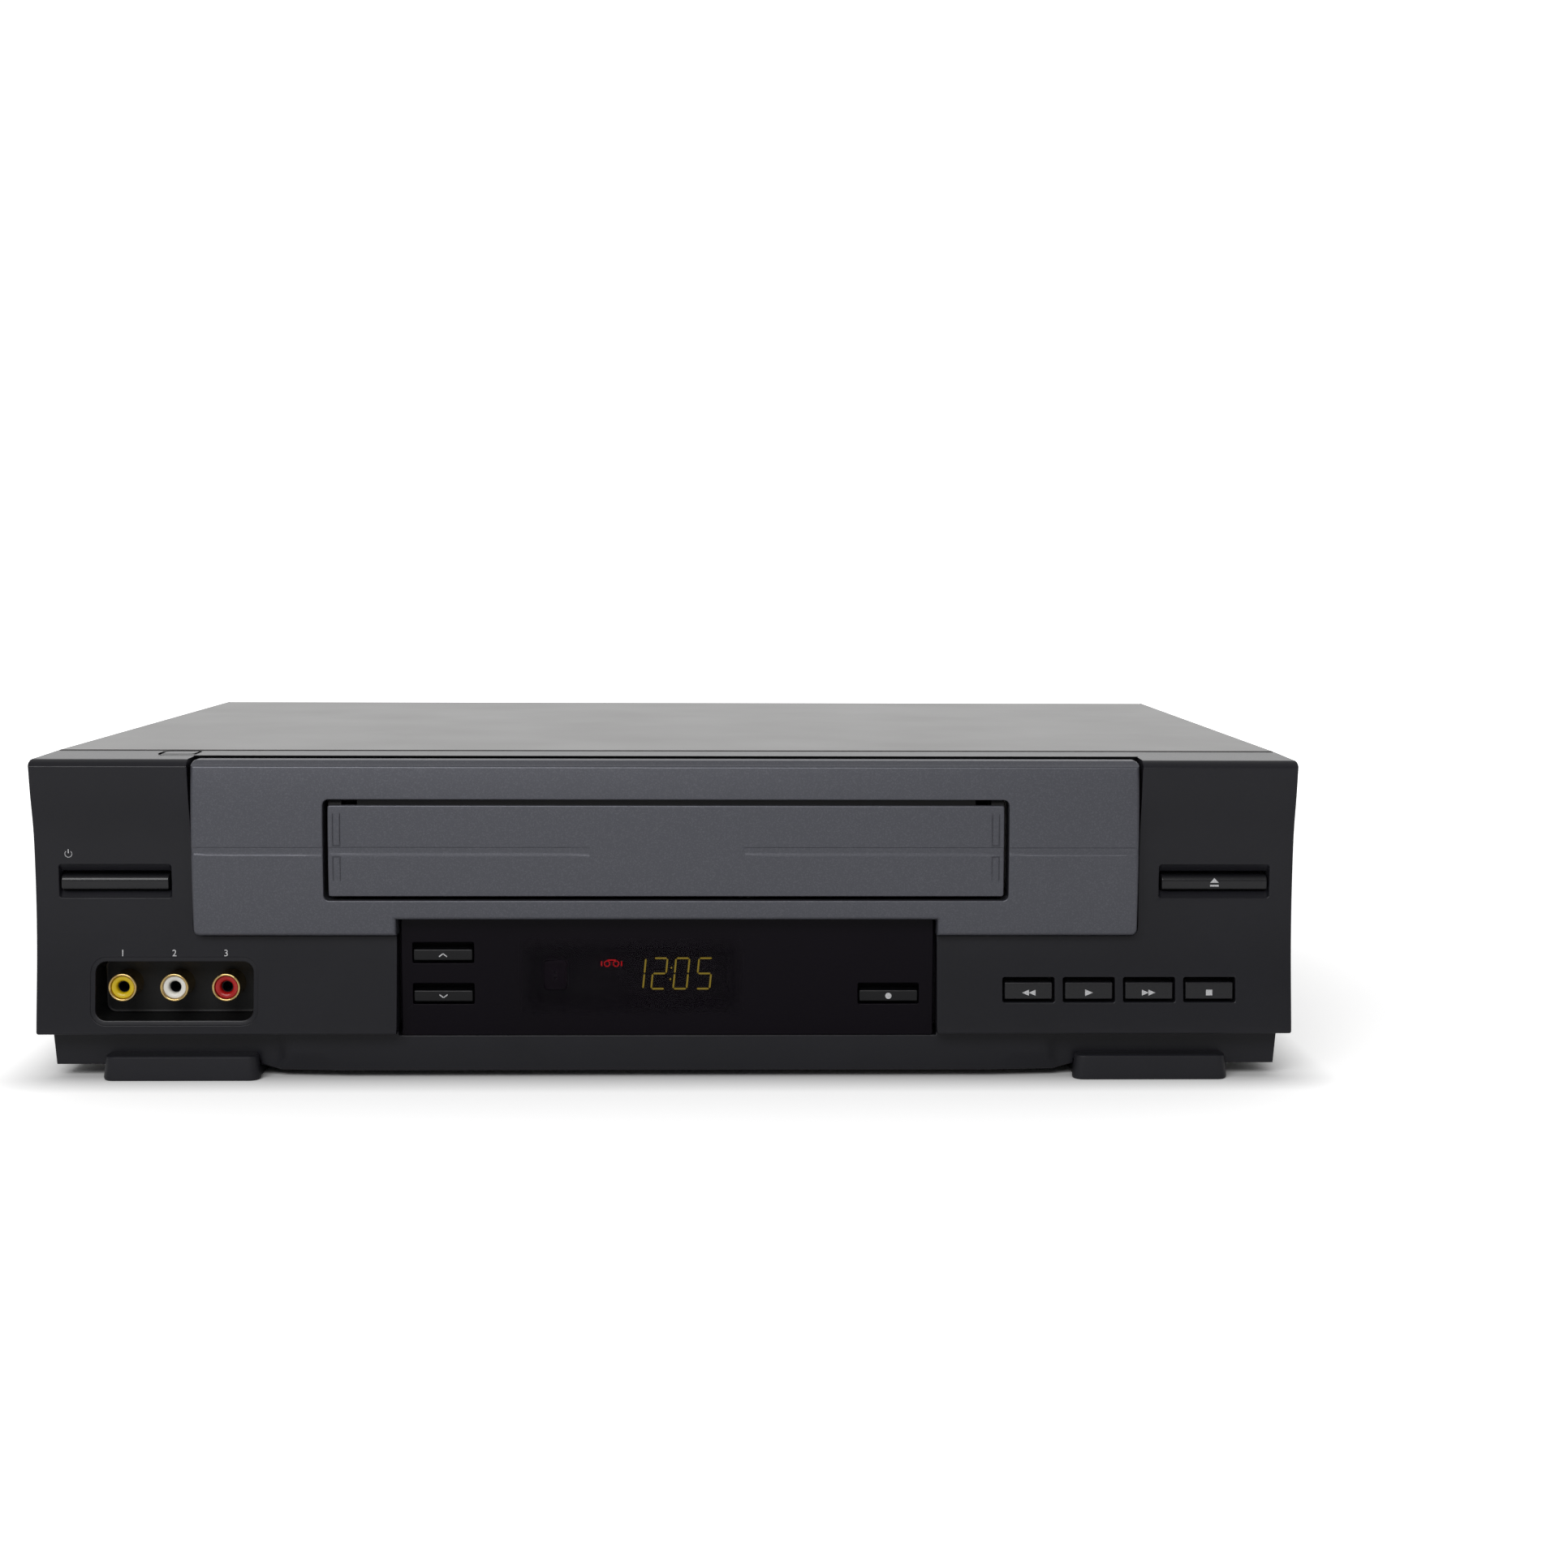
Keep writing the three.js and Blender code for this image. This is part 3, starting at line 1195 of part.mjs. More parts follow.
function capstanMotor() {
  const plateTop = flywheelLow - fitGap;
  const plate = rodZ(...capstanPlace, [motorPlateLevel, plateTop], motorPlateRadius, roundSides);
  const posts = [0, 1, 2].map((i) => {
    const angle = (i * 2 * Math.PI) / 3;
    return rodZ(capstanPlace[0] + motorPostRing * Math.cos(angle), capstanPlace[1] + motorPostRing * Math.sin(angle),
      [motorPlateLevel, deckLevel - fitGap], axleRadius);
  });
  return join([plate, ...posts]);
}
addPiece('capstan_motor', capstanMotor(), ironCore);

// Pinch roller on its arm: at rest it points to the front, and it swings a quarter turn to the capstan
const pinchReach = pinchPivot[0] - capstanPlace[0] - capstanRadius - pinchRadius - fitGap;
const pinchEnd = [pinchPivot[0], pinchPivot[1] - pinchReach];
addPiece('pinch_arm', planArm(pinchPivot, pinchEnd, [armLevel, armLevel + armThick * 2], armHalf + fitGap)
  .subtract(rodZ(...pinchPivot, [deckTop, machineHeight], axleRadius + fitGap))
  .add(rodZ(...pinchEnd, [armLevel, pinchLow + pinchTall + fitGap], pinchPin)), steel);
addPiece('pinch_roller', rodZ(...pinchEnd, [pinchLow, pinchLow + pinchTall], pinchRadius, roundSides)
  .subtract(rodZ(...pinchEnd, [deckTop, machineHeight], pinchPin + fitGap)), rubber);

// Tension arm with its upright pin
const tensionEnd = [tensionPivot[0] + tensionReach, tensionPivot[1]];
addPiece('tension_arm', planArm(tensionPivot, tensionEnd, [armLevel, armLevel + armThick], armHalf)
  .subtract(rodZ(...tensionPivot, [deckTop, machineHeight], axleRadius + fitGap))
  .add(rodZ(...tensionEnd, [armLevel, armLevel + tensionPinTall], guidePin)), steel);

// Fixed heads, each on its base
[['erase_head', eraseHead], ['control_head', controlHead]].forEach(([name, [x, y]]) => {
  addPiece(name, block(spread(x, headWide / 2), spread(y, headDeep / 2), [gearLow, gearLow + headTall])
    .add(block(spread(x, headBaseWide / 2), spread(y, headDeep / 2), [gearLow, gearLow + headBaseTall])), steel);
});

// Loading motor with its base and far bearing, the worm it turns, and the cam gear
const bearingLeft = wormRight + bearingWide;

function loadingMotor() {
  const body = rodX([motorLeft, motorRight], wormPlace, wormLevel, motorRadius, roundSides);
  const base = block([motorLeft, bearingLeft + bearingWide], spread(wormPlace, motorBaseHalf),
    [gearLow, gearLow + motorBaseTall]);
  const saddle = block([motorLeft, motorRight], spread(wormPlace, motorBaseHalf), [gearLow, wormLevel]);
  const bearing = block([bearingLeft, bearingLeft + bearingWide], spread(wormPlace, motorBaseHalf),
    [gearLow, wormLevel + wormRadius]);
  const bore = rodX([motorRight - bearingWide, machineHalf], wormPlace, wormLevel, wormShaft + fitGap);
  return cut(join([body, base, saddle, bearing]), [bore]);
}
addPiece('loading_motor', loadingMotor(), ironCore);
addPiece('loading_worm', rodX([wormLeft, wormRight], wormPlace, wormLevel, wormRadius)
  .add(rodX([motorRight - bearingWide + fitGap, bearingLeft + bearingWide], wormPlace, wormLevel, wormShaft)),
gearPlastic);
addPiece('cam_gear', toothedDisc(...camCentre, [camLow, camLow + camTall], camRadius, camTeeth, toothTall)
  .add(rodZ(...camCentre, [gearLow, camLow + cutOver], camHub))
  .subtract(rodZ(...camCentre, [deckTop, machineHeight], axleRadius + fitGap)), gearPlastic);

// The frame's origin is under the middle of the machine, on the surface it stands on
recorder.position.y = -machineDepth / 2;

export default recorder;
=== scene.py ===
import bpy
import numpy as np
from mathutils import Matrix, Vector
from mathutils.geometry import delaunay_2d_cdt


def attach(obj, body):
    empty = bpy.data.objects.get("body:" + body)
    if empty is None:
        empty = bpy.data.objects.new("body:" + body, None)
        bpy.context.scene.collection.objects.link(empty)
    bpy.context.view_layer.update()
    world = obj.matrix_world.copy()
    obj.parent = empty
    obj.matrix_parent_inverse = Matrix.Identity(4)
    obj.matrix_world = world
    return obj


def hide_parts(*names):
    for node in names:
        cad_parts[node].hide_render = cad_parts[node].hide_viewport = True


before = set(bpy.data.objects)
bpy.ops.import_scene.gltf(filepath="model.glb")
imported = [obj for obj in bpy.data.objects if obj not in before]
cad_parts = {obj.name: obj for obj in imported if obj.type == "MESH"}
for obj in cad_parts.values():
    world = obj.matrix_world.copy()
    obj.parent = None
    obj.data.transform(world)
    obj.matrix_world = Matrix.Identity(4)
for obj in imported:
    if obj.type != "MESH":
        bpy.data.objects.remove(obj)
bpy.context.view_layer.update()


# Front moulding: one injection moulded shell of black ABS, clipped to the case behind it. Its face is hollow
# from top to bottom, a bevel meets the flat top strip, its holes have small rolled edges, and a bay takes the
# silver fascia and the window.
def linear(colour):
    """A six-digit sRGB colour as linear light, each share s being ((s + 0.055) / 1.055) ** 2.4."""
    share = np.array([int(colour[i:i + 2], 16) for i in (0, 2, 4)]) / 255
    return [*np.where(share < 0.04045, share / 12.92, ((share + 0.055) / 1.055) ** 2.4), 1.0]


def add(tree, kind, settings, links):
    """Adds one node to a tree, with its settings and sockets, and links from other nodes."""
    node = tree.nodes.new(kind)
    for name, value in settings.items():
        if isinstance(name, str) and hasattr(node, name):
            setattr(node, name, value)
        else:
            node.inputs[name].default_value = value
    for socket, (source, output) in links.items():
        tree.links.new(source.outputs[output], node.inputs[socket])
    return node


def feed(tree, source, node, socket):
    """Links a (node, output) pair to a socket."""
    tree.links.new(source[0].outputs[source[1]], node.inputs[socket])


def surface_of(name):
    """An empty material: its tree, its place on the object in metres, and its Principled shader."""
    material = bpy.data.materials.new(name)
    material.use_nodes = True
    tree = material.node_tree
    tree.nodes.clear()
    place = add(tree, "ShaderNodeTexCoord", {}, {})
    shader = add(tree, "ShaderNodeBsdfPrincipled", {}, {})
    add(tree, "ShaderNodeOutputMaterial", {}, {"Surface": (shader, "BSDF")})
    return material, tree, (place, "Object"), shader


def set_plain(shader, values):
    """Sets single sockets, their names written with _ for a space."""
    for socket, value in values.items():
        shader.inputs[socket.replace("_", " ")].default_value = value


def finish(name, colours, broad, fine=None, bump=None, sheen=None, patchy=None, spread=None, stretch=None, **plain):
    """A material whose colour runs between two shades over a broad noise, given as (scale, detail), and within
    spread where that is given. Its relief, bump = (strength, depth in metres), and its roughness, sheen = (lowest,
    highest), follow a fine noise where there is one, drawn out by stretch; roughness given as patchy follows the
    broad noise."""
    material, tree, place, shader = surface_of(name)
    noises = [(add(tree, "ShaderNodeTexNoise", {"Scale": scale, "Detail": detail}, {"Vector": place}), "Fac")
              for scale, detail in filter(None, (broad, fine))]
    if stretch:
        drawn = add(tree, "ShaderNodeMapping", {"Scale": stretch}, {"Vector": place})
        feed(tree, (drawn, "Vector"), noises[-1][0], "Vector")
    share = noises[0]
    if spread:
        limits = {"From Min": spread[0], "From Max": spread[1]}
        share = (add(tree, "ShaderNodeMapRange", limits, {"Value": share}), "Result")
    shades = {"data_type": "RGBA", 6: linear(colours[0]), 7: linear(colours[1])}
    feed(tree, (add(tree, "ShaderNodeMix", shades, {0: share}), 2), shader, "Base Color")
    for limits, noise in ((patchy, noises[0]), (sheen, noises[-1])):
        if limits:
            rough = add(tree, "ShaderNodeMapRange", {"To Min": limits[0], "To Max": limits[1]}, {"Value": noise})
            feed(tree, (rough, "Result"), shader, "Roughness")
    if bump:
        grain = add(tree, "ShaderNodeBump", {"Strength": bump[0], "Distance": bump[1]}, {"Height": noises[-1]})
        feed(tree, (grain, "Normal"), shader, "Normal")
    set_plain(shader, plain)
    return material


def black_abs(name, dark, light, rough, grain, specular=0.25):
    """Moulded ABS: a spark-eroded grain a few tenths of a millimetre wide, and a faint uneven sheen."""
    return finish(name, (dark, light), (45, 2), (1 / grain, 3), bump=(0.35, 4e-5),
                  sheen=(rough - 0.04, rough + 0.05), IOR=1.53, Specular_IOR_Level=specular)


# Lengths are millimetres from the front of the machine and the surface it stands on; the frame's own middle lies
# half the depth behind that front.
half_depth = 123.5


def piece(name, parts, material, slot, *nodes, body="chassis", sharp=35, wall=0):
    """One mesh from several (points, faces) parts: equal points are merged, faces that close up are dropped,
    and open edges and those that turn more than the sharp angle stay crisp. A wall gives an open skin its
    thickness, and the normals are weighted by area, so that broad faces shade flat beside their rolled edges."""
    starts = np.cumsum([0] + [len(points) for points, _ in parts[:-1]])
    points = np.round(np.concatenate([points for points, _ in parts]), 3)
    points, where = np.unique(points, axis=0, return_inverse=True)
    where = where.reshape(-1)
    corners = np.concatenate([where[np.pad(faces, ((0, 0), (0, 4 - faces.shape[1])), "edge") + start]
                              for (_, faces), start in zip(parts, starts)])
    fresh = corners != np.roll(corners, 1, axis=1)
    size = fresh.sum(axis=1)
    mesh = bpy.data.meshes.new(name)
    faces = [corners[size == 4]] + [corners[size == 3][fresh[size == 3]].reshape(-1, 3)]
    mesh.from_pydata((points - [0, half_depth, 0]) / 1000, [], [face for group in faces for face in group.tolist()])
    mesh.validate()
    mesh.shade_smooth()
    mesh.set_sharp_from_angle(angle=np.radians(sharp))
    edges, crisp = np.empty(len(mesh.loops), int), np.empty(len(mesh.edges), bool)
    mesh.loops.foreach_get("edge_index", edges)
    mesh.edges.foreach_get("use_edge_sharp", crisp)
    mesh.edges.foreach_set("use_edge_sharp", crisp | (np.bincount(edges, minlength=len(crisp)) == 1))
    mesh.materials.append(material)
    made = bpy.data.objects.new(name, mesh)
    bpy.context.scene.collection.objects.link(made)
    if wall:
        shell = made.modifiers.new("wall", "SOLIDIFY")
        shell.thickness = wall / 1000
        shell.offset = -1
    flatter = made.modifiers.new("flat_faces_shade_flat", "WEIGHTED_NORMAL")
    flatter.keep_sharp = True
    flatter.weight = 100
    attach(made, body)
    if nodes:
        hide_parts(*nodes)
    return made


def lift(loop, y):
    """A loop of (x, z) points set at the depth y."""
    return np.stack([loop[:, 0], np.broadcast_to(y, len(loop)), loop[:, 1]], axis=1)


def grow(box, by):
    """A box (left, right, bottom, top) made larger all round."""
    return box[0] - by, box[1] + by, box[2] - by, box[3] + by


def rounded(box, radius, bends=5, runs=6):
    """A rounded rectangle as an anticlockwise loop: a quarter circle about each corner's centre, and
    straight sides cut into equal runs."""
    x0, x1, z0, z1 = grow(box, -radius)
    turn = np.linspace(0, np.pi / 2, bends + 1) + np.array([[-1], [0], [1], [2]]) * np.pi / 2
    centres = np.array([[x1, z0], [x1, z1], [x0, z1], [x0, z0]])
    arcs = centres[:, None] + radius * np.stack([np.cos(turn), np.sin(turn)], axis=-1)
    share = (np.arange(1, runs) / runs)[None, :, None]
    sides = arcs[:, -1:] + (np.roll(arcs[:, :1], -1, axis=0) - arcs[:, -1:]) * share
    return np.round(np.concatenate([arcs, sides], axis=1).reshape(-1, 2), 3)


def rings(loops, closed=True):
    """Quads between each loop and the next, from a (loops, points, 3) array."""
    loops = np.asarray(loops)
    here = np.arange(loops.shape[0] * loops.shape[1]).reshape(loops.shape[:2])
    there = np.roll(here, -1, axis=1)
    quads = np.stack([here[:-1], there[:-1], there[1:], here[1:]], axis=-1)
    return loops.reshape(-1, 3), (quads if closed else quads[:, :-1]).reshape(-1, 4)


def capped(loops):
    """Quads between the loops, the first and the last closed to their middles."""
    ends = [np.broadcast_to(loop.mean(axis=0), loop.shape) for loop in (loops[0], loops[-1])]
    return rings([ends[0], *loops, ends[1]])


def turned_over(part):
    """The same part seen from its other side."""
    return part[0], part[1][:, ::-1]


def mirrored(part):
    """The same part on the other side of the machine's middle: x changes sign, and each face is turned back."""
    return part[0] * [-1, 1, 1], part[1][:, ::-1]


def inside(points, loop):
    """Which points lie in a loop: a ray to their right crosses its sides an odd number of times."""
    ends = np.roll(loop, -1, axis=0)
    level = points[:, 1, None]
    spans = (loop[:, 1] > level) != (ends[:, 1] > level)
    rise = np.where(ends[:, 1] == loop[:, 1], 1, ends[:, 1] - loop[:, 1])
    cross = loop[:, 0] + (level - loop[:, 1]) * (ends[:, 0] - loop[:, 0]) / rise
    return (spans & (points[:, 0, None] < cross)).sum(axis=1) % 2 == 1


def filled(edge, holes, surface, columns, rows, clear=0.0):
    """The face inside a loop and outside its holes, y = surface(x, z), as a net of triangles over the
    loops' points and a grid of columns and rows, none of it closer to a hole than clear. Of loops in space,
    x and z count."""
    edge, *holes = [loop[:, [0, -1]] for loop in (edge, *holes)]
    grid = np.stack(np.meshgrid(columns, rows), axis=-1).reshape(-1, 2)
    keep = inside(grid, edge)
    for hole in holes:
        keep &= ~inside(grid, hole)
        keep &= (np.abs(grid - np.clip(grid, hole.min(axis=0), hole.max(axis=0))) > clear).any(axis=1)
    loops = [edge, *holes]
    net = np.round(np.concatenate([*loops, grid[keep]]), 3)
    starts = np.cumsum([0] + [len(loop) for loop in loops])
    sides = np.concatenate([np.stack([np.arange(len(loop)), np.roll(np.arange(len(loop)), -1)], axis=1) + start
                            for loop, start in zip(loops, starts)])
    places, _, faces, *_ = delaunay_2d_cdt(net.tolist(), sides.tolist(), [], 0, 1e-4)
    places, faces = np.round(np.array(places), 3), np.array(faces)
    middle = places[faces].mean(axis=1)
    keep = inside(middle, edge)
    for hole in holes:
        keep &= ~inside(middle, hole)
    return lift(places, surface(places[:, 0], places[:, 1])), faces[keep]


def moved(path, by, closed=False):
    """A path moved to its left: each point goes to where its two moved sides cross."""
    step = np.roll(path, -1, axis=0) - path
    after = np.stack([-step[:, 1], step[:, 0]], axis=1) / np.linalg.norm(step, axis=1, keepdims=True)
    before = np.roll(after, 1, axis=0)
    if not closed:
        after[-1] = before[-1]
        before[0] = after[0]
    both = (before + after) / (1 + (before * after).sum(axis=1, keepdims=True))
    return path + np.broadcast_to(by, len(path))[:, None] * both


def rolled(shape, edge, surface, turns=4):
    """Loops over a quarter-round edge: shape(spare) is the outline with that much to spare, and the depth
    below the surface grows as 1 - cos while the spare shrinks as 1 - sin."""
    loops = []
    for turn in np.linspace(0, np.pi / 2, turns):
        loop = shape(edge * (1 - np.sin(turn)))
        loops.append(lift(loop, surface(loop[:, 0], loop[:, 1]) + edge * (1 - np.cos(turn))))
    return loops


def run(start, end, steps):
    """Points from start up to but not including end, in equal steps."""
    share = np.arange(steps)[:, None] / steps
    return np.array(start) + (np.array(end) - start) * share


def inset(path, way=1, closed=True):
    """The outlines of a path for rolled(): each point moved to its left, or to its right where way is -1."""
    return lambda spare: np.round(moved(path, way * spare, closed), 3)


def bend(centre, radius, first, last, steps=6):
    """Points on an arc about a centre, from the first angle to the last, in degrees."""
    turn = np.radians(np.linspace(first, last, steps))
    return np.array(centre) + radius * np.stack([np.cos(turn), np.sin(turn)], axis=1)


def hollow_face(x, z):
    """Depth of the black face, 1 mm at its ends and 4.65 at its deepest: between each two of its knots over the
    height, the cubic that meets both their depths and both their slopes."""
    knots = np.array([0, 0.1, 0.3, 0.62, 0.75, 0.9, 1])
    sunk = np.array([0, 0.28, 0.8, 1, 0.86, 0.28, 0])
    slope = np.gradient(sunk, knots)
    share = np.clip((z - 15.2) / 75.7, 0, 1)
    i = np.clip(np.searchsorted(knots, share, side="right") - 1, 0, 5)
    step = knots[i + 1] - knots[i]
    t = (share - knots[i]) / step
    rise = (1 + 2 * t) * (1 - t) ** 2 * sunk[i] + t * (1 - t) ** 2 * step * slope[i]
    return 1 + 3.65 * (rise + t * t * (3 - 2 * t) * sunk[i + 1] + t * t * (t - 1) * step * slope[i + 1])


outer_corner, strip_end = ((178.7, 92), 1.3), 135.6
outer_path = np.concatenate([
    run((77.6, 13.9), (179.3, 13.9), 12), bend((179.3, 14.6), 0.7, -90, 0), run((180, 14.6), (180, 92), 26)[1:],
    bend(*outer_corner, 0, 90, 8), run((178.7, 93.3), (strip_end, 93.3), 6)[1:], [[strip_end, 93.3]]])
bay_low, bay_high = 42.0, 90.55
bay_path = np.concatenate([
    run((135.45, bay_high), (135.45, bay_low + 2.3), 16), bend((133.15, bay_low + 2.3), 2.3, 0, -90),
    run((133.15, bay_low), (77.45, bay_low), 8)[1:], run((77.45, bay_low), (77.45, 15.2), 9), [[77.45, 15.2]]])


def mitred(path, steps, centre, radius, surface, closed=False):
    """Loops over an edge, one for each step: the path moved inward by side, and by top along its upper run, where
    its corners close in on a mitre, and that much deeper than the surface."""
    across, up = np.abs(path[:, 0]), path[:, 1]
    corner = (across > centre[0] - 1e-6) & (up > centre[1] - 1e-6)
    turn = np.arctan2(up - centre[1], across - centre[0])
    arc = np.stack([np.cos(turn), np.sin(turn)], axis=1)
    half = np.stack([np.sign(path[:, 0]), np.ones(len(path))], axis=1)
    loops = []
    for side, top, deeper in steps:
        loop = moved(path, np.where(up > centre[1] + radius - 1e-6, top, side), closed)
        tight = max(radius - max(side, top), 0.15)
        tucked = (np.array(centre) + radius - (side, top) - tight + tight * arc) * half
        loop[corner] = tucked[corner]
        loop = np.round(loop, 3)
        loops.append(lift(loop, surface(*loop.T) + deeper))
    return loops


outer_steps = [(0.5, 2.75, 0), (0.33, 2.55, 0.03), (0.18, 2.35, 0.12), (0.07, 2.17, 0.25), (0.02, 1.93, 0.5),
               (0, 1.4, 1.05), (0, 0.62, 1.95), (0, 0.44, 2.7)]
outer_loops = [*mitred(outer_path, outer_steps, *outer_corner, hollow_face), lift(outer_path, 26)]
bevel_end = np.array([loop[-1] for loop in outer_loops])
bevel_end[:, 0] = strip_end
bay_loops = rolled(inset(bay_path, closed=False), 0.15, hollow_face) + [lift(np.round(bay_path, 3), 9)]
half_edge = np.concatenate([outer_loops[0], bay_loops[0]])


def sunk(box, radius, edge, surface, deeper):
    """A hole in a face: its rolled edge, then the outlines that follow it down as (box, radius, depth)."""
    loops = rolled(lambda spare: rounded(grow(box, spare), radius + spare), edge, surface)
    return loops + [lift(rounded(low_box, low_radius), depth) for low_box, low_radius, depth in deeper]


def closed_off(loops):
    """The last loop shrunk to its middle, so that it ends in a flat floor."""
    return [*loops, np.broadcast_to(loops[-1].mean(axis=0), loops[-1].shape)]


wide_key = 157.3


def bar_pocket():
    """A wide button's pocket, its upper and lower faces sloping in to a slot."""
    face, throat, slot = ((wide_key - half, wide_key + half, low, high)
                          for half, low, high in ((15.9, 53.0, 62.5), (15.7, 54.8, 60.6), (15.6, 55.0, 60.0)))
    return closed_off(sunk(face, 0.8, 0.35, hollow_face, [(throat, 0.6, 6.5), (slot, 0.5, 9.2), (slot, 0.5, 12)]))


recess_box = (118.4, 163.3, 17.9, 34.6)
recess_loops = rolled(lambda spare: rounded(grow(recess_box, 1.3 + spare), 4.3 + spare), 0.25, hollow_face)
for spare, deeper in ((0.3, 0.35), (0.08, 0.45), (0, 0.7)):
    loop = rounded(grow(recess_box, spare), 3 + spare)
    recess_loops.append(lift(loop, hollow_face(*loop.T) + deeper))
key_places = 103.9 + 17.43 * np.arange(4)
key_boxes = [(centre - 7.5, centre + 7.5, 22.9, 30.05) for centre in key_places]
key_loops = [closed_off(sunk(box, 0.6, 0.3, hollow_face, [(box, 0.6, 11)])) for box in key_boxes]


def half_face(wells):
    """One half of the moulding, drawn on the right: its face, edges and bay, with the wells let into it."""
    holes = [loops[0] for loops in wells]
    return [filled(half_edge, holes, hollow_face, np.arange(80, 178, 6), np.arange(16, 90, 2.2), 0.8),
            turned_over(rings(outer_loops, closed=False)), turned_over(rings(bay_loops, closed=False)),
            rings([bevel_end, bevel_end * [1, 1, 0] + [0, 0, bay_high]], closed=False), *map(rings, wells)]


black_moulding = black_abs("moulded_black_abs", "1b1b1f", "202025", 0.3, 0.00035)
left_half, right_half = half_face([bar_pocket(), recess_loops]), half_face([bar_pocket(), *key_loops])
piece("front_moulding", [*map(mirrored, left_half), *right_half], black_moulding, "black_moulding", "front_panel",
      wall=1.2)
# The socket recess is lined in a deeper black than the moulding: painted shade for its depth.
recess_liner = [recess_loops[-1]] + [lift(rounded(grow(recess_box, -spare), 3 - spare), y)
                                     for spare, y in ((0.3, 12), (0.5, 12.7), (1.1, 13))]
# A deeper black than the moulding. In the socket recess, on the socket block behind it and on the lip over the door it
# is painted shade; on the door's arms it is their own black.
deep_black_and_shade = black_abs("deep_black_abs_and_painted_shade", "0a0a0b", "0e0e0f", 0.5, 0.0006)
piece("socket_recess_painted_shade", [mirrored(rings(closed_off(recess_liner)))], deep_black_and_shade, "black_moulding", wall=0.8)


def bar(start, end, profile, edge):
    """A side outline (y, z) carried along X; near both ends it shrinks by a quarter-round edge and closes in."""
    turn = np.linspace(0, np.pi / 2, 4)
    first = np.stack([start + edge * (1 - np.cos(turn)), edge * (1 - np.sin(turn))], axis=1)
    last = np.stack([start + end - first[::-1, 0], first[::-1, 1]], axis=1)
    return capped([np.insert(moved(profile, spare, closed=True), 0, x, axis=1)
                   for x, spare in np.concatenate([first, last])])


strip_side = np.array([[13, 91.5], [26, 91.5], [26, 93.3], [10.6, 93.3], [10.35, 93.26], [10.25, 93.18],
                       [10.35, 93.1], [13, 92.95]])
ledge_side = np.array([[6.5, 91.0], [20, 91.0], [20, 91.55], [6.5, 91.55]])
piece("top_strip", [bar(-strip_end, strip_end, strip_side, 0.02), bar(-135.4, 135.4, ledge_side, 0.02)],
      black_moulding, "black_moulding")


# Flush cap: a small cap of the same black ABS, pressed into the moulding's flat top on the left. It is drawn only
# as a thin near-black ring lying on the flat top round it: painted shadow for the fine seam.
cap_place = (-147.2, -136.2, 13.9, 24.6)
seam_path = [(rounded(grow(cap_place, -spare), 2.2 - spare), z)
             for spare, z in ((0, 93.25), (0.05, 93.33), (0.6, 93.33), (0.65, 93.25), (0, 93.25))]
# Near black and without gloss: painted seam shadow.
seam_shadow_paint = black_abs("seam_shadow_black", "030303", "050505", 0.9, 0.0006, specular=0)
piece("flush_cap_seam_shadow", [rings([np.insert(loop, 2, z, axis=1) for loop, z in seam_path])], seam_shadow_paint,
      "black_moulding")


# Plinth: the lower part of the same moulding, set back under the face. Its middle stands a little prouder
# than the two bays that the front feet stand in, and its lower edge is rounded.
def plinth_face(x, z):
    """Depth of the plinth: 6.3 mm in the middle, easing to 8.3 mm between 108 and 114 mm from it."""
    share = np.clip((np.abs(x) - 108) / 6, 0, 1)
    return 6.3 + 2 * share ** 2 * (3 - 2 * share)


def through(corners, steps):
    """A path through the corners, each side cut into so many equal steps."""
    return np.concatenate([*map(run, corners, corners[1:], steps), [corners[-1]]])


def whole(half):
    """A closed path from its right half, which starts and ends on the middle line."""
    return np.concatenate([half, half[-2:0:-1] * [-1, 1]])


plinth_path = whole(through([(0, 2.2), (112, 2.2), (118.1, 3.7), (118.1, 4.9), (161.5, 4.9), (161.5, 3.7),
                             (176.6, 3.7), (177.5, 15), (77.6, 15), (77.6, 12.6), (0, 12.6)],
                            [6, 4, 2, 6, 2, 3, 4, 10, 2, 6]))
plinth_loops = rolled(inset(plinth_path), 0.4, plinth_face)
plinth_loops.append(lift(plinth_path, 25.9))
plinth_columns = np.concatenate([np.arange(-172, -118, 6), np.linspace(-116, -106, 11), np.arange(-100, 101, 10),
                                 np.linspace(106, 116, 11), np.arange(120, 176, 6)])
piece("plinth", [filled(plinth_loops[0], [], plinth_face, plinth_columns, np.arange(5.8, 14.9, 2)),
                 turned_over(rings(plinth_loops))], black_moulding, "black_moulding", wall=1.2)


# Silver fascia: an ABS moulding sprayed with metallic paint, its face crowned from top to bottom. It is
# clipped into a bay of the black moulding and holds the cassette door. A shallow groove runs across it.
def crown(z):
    """Depth of the face without its groove: the square of the height above 63, over twice a radius of 220 mm."""
    return (z - 63) ** 2 / 440


def silver_face(x, z):
    """Depth of the crowned face, with a groove 0.2 mm deep whose lower side slopes gently."""
    low = np.clip((z - 65.75) / 0.45, 0, 1)
    high = np.clip((68.15 - z) / 0.25, 0, 1)
    return crown(z) + 0.2 * np.minimum(low, high)


groove_rows = [65.75, 66.2, 67.9, 68.15]


def crossed(loop, levels):
    """A closed loop with extra points where it crosses the given heights."""
    for level in levels:
        ends = np.roll(loop, -1, axis=0)
        at = np.flatnonzero((loop[:, 1] - level) * (ends[:, 1] - level) < 0)
        share = (level - loop[at, 1]) / (ends[at, 1] - loop[at, 1])
        fresh = np.stack([loop[at, 0] + (ends[at, 0] - loop[at, 0]) * share, np.full(len(at), level)], axis=1)
        loop = np.insert(loop, at + 1, fresh, axis=0)
    return loop


